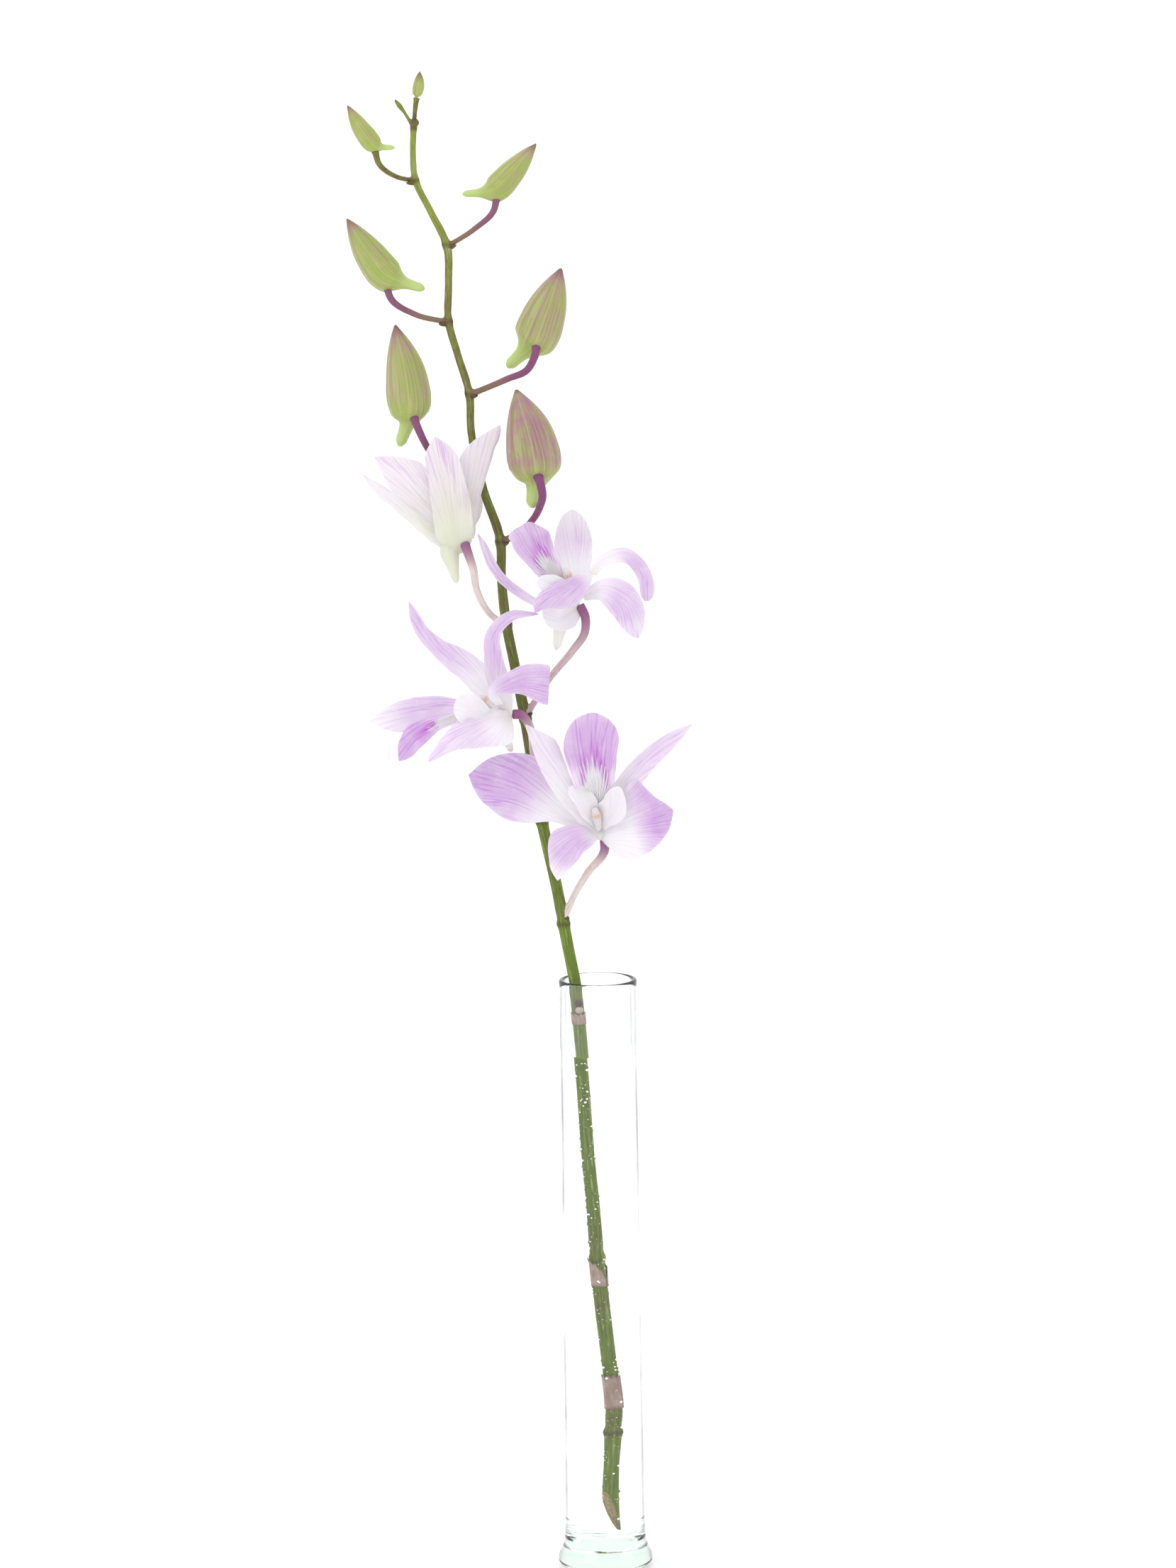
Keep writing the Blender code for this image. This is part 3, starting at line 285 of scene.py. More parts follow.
                ((1.2, -9.4, 230.6), (-5.0, -15.4, 228.6), (-9.5, -18.4, 223.0), (-11.8, -19.2, 218.5)),
                (0.0, -0.9, 0.3), (-0.1, -0.9, 0.3), (0.6, 1.3, 2.0, 2.6, 2.7, 2.5, 1.7, 1.0, 0.5, 0.1),
                (2.0, 3.2, 4.6, 7.0, 8.8, 7.5, 5.0, 3.3, 1.6, 0.1), (0.1, 0.10, 0.04),
                (0.05, 0.72, 1.0, 0.0)),
            "sepal_l": Blade(
                ((1.2, -9.6, 230.6), (-6.5, -12.6, 243.5), (-14.5, -13.8, 255.5), (-20.7, -13.4, 265.4)),
                (0.1, -0.95, 0.2), (0.1, -0.95, 0.0), (2.4, 3.0, 3.5, 4.4, 4.5, 3.9, 2.5, 1.3, 0.7, 0.1),
                (0.8, 0.8, 0.9, 1.2, 2.4, 4.2, 4.8, 2.6, 1.1, 0.1), (0.15, -0.10, -0.12),
                (0.45, 0.20, 0.3, 0.0)),
        },
        {
            "mid": Blade(
                ((0.9, -10.1, 234.4), (0.1, -13.4, 243.0), (-0.6, -16.0, 252.0), (-0.9, -16.8, 261.0),
                 (-0.3, -15.6, 269.0)),
                (0.0, -1.0, 0.3), (0.0, -0.97, -0.15), (2.6, 3.2, 4.2, 5.8, 6.9, 8.3, 8.0, 6.2, 4.2, 1.0),
                (2.2, 2.8, 3.8, 6.0, 6.9, 7.6, 8.2, 6.8, 4.6, 1.2), (0.20, 0.06, -0.12),
                (0.42, 0.9, 0.0, 0.04)),
            "left": Blade(
                ((-0.2, -11.5, 233.6), (-3.6, -15.0, 239.6), (-7.6, -16.0, 246.6)), (0.3, -0.95, 0.1),
                (0.4, -0.9, 0.0), (0.4, 0.8, 1.2, 1.7, 1.9, 2.0, 1.8, 1.5, 1.1, 0.6),
                (2.1, 3.0, 3.6, 4.3, 4.9, 4.9, 4.2, 3.3, 2.4, 0.9), (0.1, 0.22, 0.2), (0.9, 0.05, 0.0, 0.0)),
            "right": Blade(
                ((2.2, -11.5, 233.4), (5.6, -15.0, 239.0), (7.2, -16.2, 246.4)), (-0.3, -0.95, 0.1),
                (-0.4, -0.9, 0.0), (2.6, 3.5, 4.4, 5.2, 4.9, 4.2, 3.5, 2.6, 1.7, 0.7),
                (1.3, 1.5, 1.9, 3.2, 4.1, 3.9, 3.0, 2.0, 1.3, 0.5), (0.1, 0.22, 0.2), (0.9, 0.05, 0.0, 0.0)),
        }),
}

# Rows along and columns across the grids of a tepal, a lip's middle lobe and its side lobes
TEPAL_COLUMNS, LIP_GRID, LOBE_GRID = 25, (60, 35), (26, 17)
# Over this radius a bloom's heart is that of the half-open bloom: full and green
FULL_HEART = 3.0

# The glass in millimetres: half section of its foot, wall and bore radii, and how it narrows
GLASS_FOOT = [(0.0, 0.0), (6.0, 0.02), (12.2, 0.0), (13.0, 0.12), (13.7, 0.45), (14.3, 1.1), (14.58, 1.9),
              (14.6, 2.5), (14.45, 3.4), (14.05, 4.5), (13.5, 5.6), (13.0, 6.8), (12.7, 8.0), (12.5, 9.6)]
GLASS_FLOOR, FLOOR_CORNER, WALL_FOOT = 10.95, 3.0, 14.0
WALL_RADIUS, WALL_LOSS, WALL_SPAN = 12.36, 0.52, 146.0
# Indexes of refraction, and how far above its level the water wets the glass
GLASS_IOR, WATER_IOR, WET = 1.5, 1.33, 0.9

# Soft lights: name, place and aim in metres, side in metres, power
SOFTBOXES = (("key_softbox", (-1.2, -1.3, 1.2), (-0.02, 0.0, 0.28), 1.2, 6.5),
             ("fill_softbox", (1.5, -0.9, 0.7), (0.0, 0.0, 0.25), 1.2, 4.2))
# The floor's thickness and middle height in metres
FLOOR_THICK, FLOOR_MIDDLE = 0.0098, -0.005
# The camera: place in millimetres, degrees that it looks down and leans over, lens in millimetres
CAMERA_PLACE, CAMERA_PITCH, CAMERA_ROLL, CAMERA_LENS = (-2.1426, -1920.2281, 540.1055), 8.74, -0.8, 146.474

# Colours that no setting changes
BUD_PATCH = (0.40, 0.46, 0.12, 1.0)
BUD_BAND = (0.66, 0.62, 0.40, 1.0)
BUD_VEIN = (0.25, 0.12, 0.12, 1.0)
BUD_CHIN = (0.50, 0.62, 0.24, 1.0)
BUD_TIP = (0.16, 0.075, 0.07, 1.0)
STALK_YOUNG = (0.27, 0.32, 0.06, 1.0)
# Pale green of the stalk's streaks: partly real pale patches, partly painted highlight
STALK_PALE_AND_HIGHLIGHT = (0.42, 0.50, 0.24, 1.0)
STALK_VEIN = (0.07, 0.06, 0.02, 1.0)
STALK_NODE = (0.075, 0.035, 0.028, 1.0)
PEDICEL_FOOT = (0.24, 0.17, 0.09, 1.0)
PEDICEL_VEIN = (0.16, 0.05, 0.09, 1.0)
CUT_PALE, CUT_PORE = (0.42, 0.36, 0.17, 1.0), (0.22, 0.15, 0.075, 1.0)
SHEATH_PALE, SHEATH_RIB = (0.49, 0.375, 0.31, 1.0), (0.22, 0.13, 0.10, 1.0)
SHEATH_EDGE = (0.12, 0.07, 0.045, 1.0)
PETAL_SPECK, ANTHER_ORANGE = (0.20, 0.09, 0.06), (0.78, 0.34, 0.16)
# The second glass colour is a painted dark reflection, laid along the glass's outline
GLASS_CLEAR, GLASS_PAINTED_EDGE_REFLECTION = (0.99, 1.0, 0.995, 1.0), (0.12, 0.13, 0.18, 1.0)

# Shapes


def unit(vector):
    """Vectors at length one."""
    vector = np.asarray(vector, float)
    return vector / np.linalg.norm(vector, axis=-1, keepdims=True)


def smooth_step(low, high, value):
    """A soft rise from 0 at low to 1 at high."""
    x = np.clip((np.asarray(value, float) - low) / (high - low), 0.0, 1.0)
    return x * x * (3 - 2 * x)


def bell(value, middle, width):
    """A soft hump of height 1 at middle."""
    return np.exp(-(((value - middle) / width) ** 2))


def smooth_between(places, values, wanted):
    """Smooth values, or points, between the rows of a table."""
    places, values, wanted = np.asarray(places, float), np.asarray(values, float), np.asarray(wanted, float)
    slopes = np.gradient(values, places, axis=0)
    left = np.clip(np.searchsorted(places, wanted, side="right") - 1, 0, len(places) - 2)
    span = places[left + 1] - places[left]
    t = (wanted - places[left]) / span
    if values.ndim > 1:
        t, span = t[:, None], span[:, None]
    return ((2 * t**3 - 3 * t**2 + 1) * values[left] + (t**3 - 2 * t**2 + t) * span * slopes[left]
            + (3 * t**2 - 2 * t**3) * values[left + 1] + (t**3 - t**2) * span * slopes[left + 1])


def curve_through(points, stations):
    """Places on the smooth curve through the points, at stations from 0 to 1 along it."""
    knots = np.array(points, float)
    along = np.r_[0.0, np.cumsum(np.linalg.norm(np.diff(knots[:, :3], axis=0), axis=1))]
    return smooth_between(along / along[-1], knots, stations)


class Parts:
    """Points, faces and per-point numbers of one piece, gathered shape by shape."""

    def __init__(self):
        self.points, self.faces, self.grain, self.tone, self.count = [], [], [], [], 0

    def add(self, points, faces, grain, tone):
        """Add one shape. grain is its place across and along, tone its three colour shares."""
        self.faces += [tuple(k + self.count for k in face) for face in faces]
        self.points.append(points)
        self.grain.append(grain)
        self.tone.append(np.broadcast_to(tone, (len(points), 3)))
        self.count += len(points)

    def piece(self, name, finish, slot, *nodes):
        """The finished object, riding on the model and standing for its nodes."""
        mesh = bpy.data.meshes.new(name)
        points = np.concatenate(self.points) * MM
        mesh.from_pydata(points.tolist(), [], self.faces)
        shell = bmesh.new()
        shell.from_mesh(mesh)
        bmesh.ops.recalc_face_normals(shell, faces=shell.faces)
        shell.to_mesh(mesh)
        shell.free()
        grain = np.concatenate(self.grain).astype(np.float32)
        tone = np.concatenate([np.concatenate(self.tone), np.ones((self.count, 1))], axis=1)
        mesh.attributes.new("grain", "FLOAT_VECTOR", "POINT").data.foreach_set("vector", grain.ravel())
        mesh.attributes.new("tone", "FLOAT_COLOR", "POINT").data.foreach_set(
            "color", np.clip(tone, 0, 1).astype(np.float32).ravel())
        mesh.shade_smooth()
        mesh.set_sharp_from_angle(angle=math.radians(50.0))
        mesh.materials.append(finish)
        made = bpy.data.objects.new(name, mesh)
        bpy.context.scene.collection.objects.link(made)
        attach(made, "root")
        if nodes:
            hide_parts(*nodes)
        return made


def form_of(blade, t):
    """Half widths to both sides and cup of a blade at places t."""
    left = np.maximum(smooth_between(PLACES, blade.left, t), 0.08)
    right = np.maximum(smooth_between(PLACES, blade.right, t), 0.08)
    return left, right, smooth_between((0.0, 0.5, 1.0), blade.cup, t)


def waves(seed, t, v, count, size):
    """Soft ruffles that grow towards a blade's edges."""
    turn = 2.4 * seed
    edge = np.abs(v) ** 2.2
    growth = smooth_step(0.05, 0.5, t) * (1 - 0.4 * smooth_step(0.85, 1.0, t))
    wave = np.sin(2 * math.pi * count * t + turn + 1.3 * np.sign(v)) + 0.5 * np.sin(
        2 * math.pi * 1.9 * count * t + 2.1 * turn - 2.0 * np.sign(v))
    return size * edge * growth * wave


def blade_grid(blade, rows, columns, ruffle, seed):
    """A blade's middle surface, its normals, and the place of each point along and across it."""
    t = np.linspace(0.0, 1.0, rows)
    t = 0.4 * t + 0.6 * (0.5 - 0.5 * np.cos(math.pi * t))
    middle = curve_through(blade.route, t)
    ways = unit(np.gradient(middle, t, axis=0))
    face = unit(np.outer(1 - t, blade.root) + np.outer(t, blade.tip))
    side = unit(np.cross(ways, face))
    face = np.cross(side, ways)
    left, right, cup = form_of(blade, t)
    v = np.linspace(-1.0, 1.0, columns)
    v = np.sign(v) * (1 - (1 - np.abs(v)) ** 1.25)
    tt, vv = np.meshgrid(t, v, indexing="ij")
    out = vv * np.where(vv < 0, left[:, None], right[:, None])
    size = (left + right)[:, None] / 2
    groove = -0.20 * bell(out, 0.0, 0.5) * smooth_step(0.0, 0.15, 1 - tt)
    lift = cup[:, None] * vv**2 * size + groove + waves(seed, tt, vv, 2.2, ruffle * 0.085) * size
    grid = middle[:, None] + side[:, None] * out[..., None] + face[:, None] * lift[..., None]
    normal = unit(np.cross(np.gradient(grid, axis=0), np.gradient(grid, axis=1)))
    for i in range(rows):
        for j in range(columns):
            swell = noise.noise(Vector(grid[i, j]) * 0.28 + Vector((seed * 7.1, 0.0, 0.0)))
            grid[i, j] += normal[i, j] * 0.30 * swell * ruffle
    normal = unit(np.cross(np.gradient(grid, axis=0), np.gradient(grid, axis=1)))
    return grid, normal, tt, vv, out, middle


def add_blade(parts, blade, thick, rows, columns, ruffle, seed, tone_of):
    """Add one thin blade with a rounded rim, split alike on its two faces."""
    grid, normal, tt, vv, out, middle = blade_grid(blade, rows, columns, ruffle, seed)
    half = thick / 2 * (0.35 + 0.65 * (1 - np.abs(vv) ** 4) * (1 - smooth_step(0.9, 1.0, tt)))
    length = np.sum(np.linalg.norm(np.diff(middle, axis=0), axis=1))
    top = (grid + normal * half[..., None]).reshape(-1, 3)
    under = (grid - normal * half[..., None]).reshape(-1, 3)
    shift = rows * columns
    faces = shell_faces(rows, columns)
    flat_t, flat_v = tt.ravel(), vv.ravel()
    fan = 2.6 * out.ravel() / (length * (flat_t + 0.16))
    grain = np.stack([fan, np.full(shift, 1.0), flat_t * length / 10], axis=1)
    tone = tone_of(flat_t, flat_v)
    parts.add(np.concatenate([top, under]), faces, np.concatenate([grain, grain * (1, -1, 1)]),
              np.concatenate([tone, tone]))


def shell_faces(rows, columns):
    """Faces of a closed skin between two like grids, the second numbered after the first."""
    shift, faces = rows * columns, []
    for i in range(rows - 1):
        for j in range(columns - 1):
            a = i * columns + j
            face = (a, a + columns, a + columns + 1, a + 1)
            faces += [face, tuple(shift + k for k in reversed(face))]
    edge = list(range(columns)) + [i * columns + columns - 1 for i in range(1, rows)]
    edge += [(rows - 1) * columns + j for j in range(columns - 2, -1, -1)]
    edge += [i * columns for i in range(rows - 2, 0, -1)]
    faces += [(a, b, shift + b, shift + a) for a, b in zip(edge, edge[1:] + edge[:1])]
    return faces


def blade_tone(blade):
    """Violet, green and spot shares over a tepal, as a function of place along and across."""
    start, strength, fade, green = blade.tint

    def tone(t, v):
        violet = strength * smooth_step(start, start + 0.34, t) * (1 - fade * smooth_step(0.62, 0.98, t))
        violet = violet * (1 - 0.40 * np.abs(v) ** 4)
        leaf = green * (1 - smooth_step(0.1, 0.9, t)) * (0.55 + 0.45 * (1 - np.abs(v)))
        leaf += 0.25 * (1 - smooth_step(0.0, 0.14, t)) * (1 - green)
        return np.stack([violet, leaf, np.zeros_like(t)], axis=1)

    return tone


def lip_tone(blade):
    """Violet, callus green and magenta shares over a lip's middle lobe."""
    start, strength, _, green = blade.tint

    def tone(t, v):
        reach = t + 0.42 * np.abs(v) - 0.045 * np.cos(26 * v)
        fan = 1 - smooth_step(0.54, 0.63, reach)
        violet = strength * smooth_step(start, start + 0.2, t) * (1 - 0.35 * np.abs(v) ** 4)
        streak = 1.7 * bell(reach, 0.69, 0.09) * bell(np.abs(v), 0.36, 0.27)
        streak += 0.22 * (1 - smooth_step(0.7, 1.0, t))
        return np.stack([violet * (1 - fan), green * fan, np.clip(streak, 0, 1) * (1 - fan)], axis=1)

    return tone


class Tube:
    """A round limb: middle line, radii and the ways across it, without twist."""

    def __init__(self, path, radii, sides=16, flat=1.0):
        self.path, self.radii = np.asarray(path, float), np.asarray(radii, float)
        self.ways = unit(np.gradient(self.path, axis=0))
        across = np.cross(self.ways[0], np.cross((1.0, 0.0, 0.0), self.ways[0]))
        self.across = []
        for way in self.ways:
            across = unit(across - way * np.dot(across, way))
            self.across.append(across)
        self.across = np.array(self.across)
        self.other = np.cross(self.ways, self.across)
        self.length = np.r_[0.0, np.cumsum(np.linalg.norm(np.diff(self.path, axis=0), axis=1))]
        angle = np.linspace(0.0, 2 * math.pi, sides, endpoint=False)
        ring = (np.cos(angle)[None, :, None] * self.across[:, None]
                + flat * np.sin(angle)[None, :, None] * self.other[:, None])
        self.points = (self.path[:, None] + self.radii[:, None, None] * ring).reshape(-1, 3)
        self.sides = sides

    def faces(self):
        """Ring faces and two end caps."""
        sides, found = self.sides, [tuple(reversed(range(self.sides)))]
        for ring in range(len(self.path) - 1):
            for k in range(sides):
                here, beside = ring * sides + k, ring * sides + (k + 1) % sides
                found.append((here, beside, beside + sides, here + sides))
        last = (len(self.path) - 1) * sides
        found.append(tuple(last + k for k in range(sides)))
        return found

    def grain(self, points, rings):
        """Cosine and sine round the limb and centimetres along it, for points near given rings."""
        away = points - self.path[rings]
        x = np.sum(away * self.across[rings], axis=1)
        y = np.sum(away * self.other[rings], axis=1)
        reach = np.maximum(np.hypot(x, y), 1e-6)
        along = self.length[rings] + np.sum(away * self.ways[rings], axis=1)
        return np.stack([x / reach, y / reach, along / 10], axis=1)


def grow_together(tubes, voxel, rounds, tone_of, relief_of=None):
    """One smooth skin over overlapping limbs, as a Parts with its grain and tone."""
    points = np.concatenate([tube.points for tube in tubes])
    faces, shift, owner, ring = [], 0, [], []
    for index, tube in enumerate(tubes):
        faces += [tuple(k + shift for k in face) for face in tube.faces()]
        shift += len(tube.points)
        owner.append(np.full(len(tube.points), index))
        ring.append(np.repeat(np.arange(len(tube.path)), tube.sides))
    owner, ring = np.concatenate(owner), np.concatenate(ring)
    rough = bpy.data.meshes.new("rough")
    rough.from_pydata((points * MM).tolist(), [], faces)
    holder = bpy.data.objects.new("rough", rough)
    bpy.context.scene.collection.objects.link(holder)
    remesh = holder.modifiers.new("Skin", "REMESH")
    remesh.mode = "VOXEL"
    remesh.voxel_size = voxel * MM
    soften = holder.modifiers.new("Soften", "SMOOTH")
    soften.factor = 0.5
    soften.iterations = rounds
    skin = bpy.data.meshes.new_from_object(holder.evaluated_get(bpy.context.evaluated_depsgraph_get()))
    bpy.data.objects.remove(holder, do_unlink=True)
    count = len(skin.vertices)
    found, normal = np.empty(count * 3), np.empty(count * 3)
    skin.vertices.foreach_get("co", found)
    skin.vertices.foreach_get("normal", normal)
    found, normal = found.reshape(-1, 3) / MM, normal.reshape(-1, 3)
    tree = kdtree.KDTree(len(points))
    for k, point in enumerate(points):
        tree.insert(point, k)
    tree.balance()
    near = np.array([tree.find(point)[1] for point in found])
    grain, tone = np.zeros((count, 3)), np.zeros((count, 3))
    for index, tube in enumerate(tubes):
        mine = owner[near] == index
        if mine.any():
            grain[mine] = tube.grain(found[mine], ring[near[mine]])
            share = grain[mine][:, 2] * 10 / tube.length[-1]
            tone[mine] = tone_of(index, share, found[mine], grain[mine])
            if relief_of is not None:
                found[mine] += normal[mine] * relief_of(index, share, grain[mine])[:, None]
    parts = Parts()
    parts.add(found, [tuple(face.vertices) for face in skin.polygons], grain, tone)
    bpy.data.meshes.remove(skin)
    bpy.data.meshes.remove(rough)
    return parts


def turned(profile, sides):
    """Points and faces of a solid turned from a half section that starts and ends on the axis."""
    points = [(0.0, 0.0, profile[0][1])]
    angle = np.linspace(0.0, 2 * math.pi, sides, endpoint=False)
    for radius, height in profile[1:-1]:
        points += list(zip(radius * np.cos(angle), radius * np.sin(angle), np.full(sides, height)))
    points.append((0.0, 0.0, profile[-1][1]))
    rings, faces = len(profile) - 2, []
    last = 1 + (rings - 1) * sides
    for k in range(sides):
        beside = (k + 1) % sides
        faces.append((0, 1 + beside, 1 + k))
        for ring in range(rings - 1):
            low = 1 + ring * sides
            faces.append((low + k, low + beside, low + sides + beside, low + sides + k))
        faces.append((last + k, last + beside, len(points) - 1))
    return np.array(points), faces


def arc(centre_r, centre_z, radius, start, end, steps):
    """Half section points on a round corner, angles in degrees from the outward direction."""
    angles = np.radians(np.linspace(start, end, steps))
    return [(centre_r + radius * math.cos(a), centre_z + radius * math.sin(a)) for a in angles]


def stalk_at(heights, grow=0.0):
    """Middle points and radii of the main stalk at given heights, with its swollen nodes."""
    table = np.array(STALK)
    path = smooth_between(table[:, 2], table[:, :3], heights)
    radii = smooth_between(table[:, 2], table[:, 3], heights)
    for node in NODES:
        radii = radii * (1 + 0.20 * bell(heights, node, 1.0) - 0.07 * bell(heights - node, 2.4, 1.2))
    return path, radii + grow


# Finishes


def place(tree, kind, links=None, **settings):
    """Add a node. links maps input names or numbers to values or to sockets of other nodes."""
    made = tree.nodes.new(kind)
    for key, value in settings.items():
        setattr(made, key, value)
    for key, value in (links or {}).items():
        if isinstance(value, bpy.types.NodeSocket):
            tree.links.new(value, made.inputs[key])
        else:
            made.inputs[key].default_value = value
    return made


def maths(tree, operation, *values):
    """The result socket of a Math node."""
    return place(tree, "ShaderNodeMath", dict(enumerate(values)), operation=operation).outputs[0]


def blend(tree, share, first, second):
    """The colour between two colours by a share."""
    return place(tree, "ShaderNodeMix", {0: share, 6: first, 7: second}, data_type="RGBA").outputs[2]


def ramp(tree, share, low, high):
    """A value rising from 0 at low to 1 at high."""
    made = place(tree, "ShaderNodeMapRange", {"Value": share, "From Min": low, "From Max": high})
    made.interpolation_type = "SMOOTHSTEP"
    return made.outputs[0]


def spread(tree, share, low, high):
    """A share from 0 to 1 spread from low to high."""
    return place(tree, "ShaderNodeMapRange", {"Value": share, "To Min": low, "To Max": high}).outputs[0]


def relief_of_skin(tree, lines, patches, fine):
    """Height of a skin with fine lines and, by a share, fine patches."""
    return maths(tree, "ADD", lines["Height"], maths(tree, "MULTIPLY", patches["Fine"], fine))


def effect_group(name, inputs, outputs, fill):
    """A shader node group made once, with named inputs and outputs."""
    if name in bpy.data.node_groups:
        return bpy.data.node_groups[name]
    tree = bpy.data.node_groups.new(name, "ShaderNodeTree")
    for label, kind, default in inputs:
        made = tree.interface.new_socket(label, in_out="INPUT", socket_type=kind)
        if default is not None:
            made.default_value = default
    for label, kind in outputs:
        tree.interface.new_socket(label, in_out="OUTPUT", socket_type=kind)
    source = tree.nodes.new("NodeGroupInput")
    sink = tree.nodes.new("NodeGroupOutput")
    fill(tree, source.outputs, sink.inputs)
    return tree


def streaks_group():
    """Fine lines that run along a petal, bud or stalk."""
    def fill(tree, given, wanted):
        scale = place(tree, "ShaderNodeCombineXYZ", {0: given["Lines"], 1: given["Lines"], 2: given["Waver"]})
        grain = place(tree, "ShaderNodeVectorMath", {0: given["Grain"], 1: scale.outputs[0]},
                      operation="MULTIPLY")
        lines = place(tree, "ShaderNodeTexNoise", {"Vector": grain.outputs[0], "Scale": 1.0, "Detail": 3.0,
                                                   "Roughness": 0.5, "Distortion": given["Branching"]})
        away = maths(tree, "ABSOLUTE", maths(tree, "SUBTRACT", lines.outputs["Fac"], 0.5))
        tree.links.new(maths(tree, "SUBTRACT", 1.0, ramp(tree, away, 0.004, 0.045)), wanted["Vein"])
        tree.links.new(ramp(tree, lines.outputs["Fac"], 0.40, 0.68), wanted["Band"])
        tree.links.new(lines.outputs["Fac"], wanted["Height"])
    return effect_group("Streaks", (("Grain", "NodeSocketVector", None), ("Lines", "NodeSocketFloat", 9.0),
                                    ("Waver", "NodeSocketFloat", 1.0), ("Branching", "NodeSocketFloat", 0.3)),
                        (("Vein", "NodeSocketFloat"), ("Band", "NodeSocketFloat"),
                         ("Height", "NodeSocketFloat")),
                        fill)


def mottle_group():
    """Soft uneven patches at a chosen size."""
    def fill(tree, given, wanted):
        where = place(tree, "ShaderNodeTexCoord")
        patches = place(tree, "ShaderNodeTexNoise", {"Vector": where.outputs["Object"], "Detail": 4.0,
                                                     "Scale": given["Scale"], "Roughness": 0.6})
        tree.links.new(ramp(tree, patches.outputs["Fac"], 0.32, 0.70), wanted["Patches"])
        fine = place(tree, "ShaderNodeTexNoise", {"Vector": where.outputs["Object"], "Detail": 3.0,
                                                  "Scale": maths(tree, "MULTIPLY", given["Scale"], 9.0)})
        tree.links.new(fine.outputs["Fac"], wanted["Fine"])
    return effect_group("Mottle", (("Scale", "NodeSocketFloat", 120.0),),
                        (("Patches", "NodeSocketFloat"), ("Fine", "NodeSocketFloat")), fill)


def start_finish(name):
    """A new material: its tree, its Principled shader, and its grain and tone sockets."""
    made = bpy.data.materials.new(name)
    made.use_nodes = True
    tree = made.node_tree
    shader = tree.nodes["Principled BSDF"]
    grain = place(tree, "ShaderNodeAttribute", attribute_name="grain").outputs["Vector"]
    tone = place(tree, "ShaderNodeAttribute", attribute_name="tone").outputs["Color"]
    tones = place(tree, "ShaderNodeSeparateColor", {0: tone}).outputs
    return made, tree, shader, grain, tones


def streaks(tree, grain, lines, waver, branching=0.3):
    """Outputs of a streaks group."""
    made = place(tree, "ShaderNodeGroup")
    made.node_tree = streaks_group()
    tree.links.new(grain, made.inputs["Grain"])
    made.inputs["Lines"].default_value = lines
    made.inputs["Waver"].default_value = waver
    made.inputs["Branching"].default_value = branching
    return made.outputs


def mottle(tree, scale):
    """Outputs of a mottle group."""
    made = place(tree, "ShaderNodeGroup")
    made.node_tree = mottle_group()
    made.inputs["Scale"].default_value = scale
    return made.outputs


def finish_surface(tree, shader, colour, rough, height, depth, soft=0.0, soft_reach=(1.0, 1.0, 1.0)):
    """Join colour, roughness and relief to a Principled shader."""
    tree.links.new(colour, shader.inputs["Base Color"])
    tree.links.new(rough, shader.inputs["Roughness"])
    bump = place(tree, "ShaderNodeBump", {"Height": height, "Strength": 0.6, "Distance": depth * MM})
    tree.links.new(bump.outputs["Normal"], shader.inputs["Normal"])
    shader.inputs["Subsurface Weight"].default_value = soft
    shader.inputs["Subsurface Radius"].default_value = soft_reach
    shader.inputs["Subsurface Scale"].default_value = MM
    shader.inputs["IOR"].default_value = 1.4


def rgba(colour):
    """A colour with full alpha."""
    return (*colour, 1.0)


def petal_finish(name, settings, deep, blush_colour=None):
    """Thin, glowing petal: white throat, violet blush, fine veins, green or magenta where told."""
    made, tree, shader, grain, tones = start_finish(name)
    veins = streaks(tree, grain, 11.0, 0.3, 0.4)
    patches = mottle(tree, 260.0)
    blush = maths(tree, "MULTIPLY", tones["Red"], ramp(tree, patches["Patches"], -1.8, 0.9))
    colour = blend(tree, blush, rgba(settings.petal_white), rgba(blush_colour or settings.petal_violet))
    lines = maths(tree, "MULTIPLY", veins["Vein"], maths(tree, "MULTIPLY_ADD", tones["Red"], 0.55, 0.14))
    colour = blend(tree, lines, colour, rgba(settings.vein_violet))
    colour = blend(tree, maths(tree, "MULTIPLY", tones["Green"], 0.8), colour, rgba(settings.petal_green))
    spot = maths(tree, "MULTIPLY_ADD", veins["Vein"], 0.5, 0.35)
    spot = maths(tree, "MULTIPLY_ADD", veins["Band"], 0.5, spot)
    spot = maths(tree, "MULTIPLY", tones["Blue"], spot)
    colour = blend(tree, spot, colour, rgba(deep))
    rough = spread(tree, patches["Fine"], 0.40, 0.62)
    height = relief_of_skin(tree, veins, patches, 0.35)
    finish_surface(tree, shader, colour, rough, height, 0.10)
    glow = place(tree, "ShaderNodeBsdfTranslucent", {"Color": colour})
    both = place(tree, "ShaderNodeMixShader", {0: 0.38, 1: shader.outputs[0], 2: glow.outputs[0]})
    tree.links.new(both.outputs[0], tree.nodes["Material Output"].inputs["Surface"])
    return made


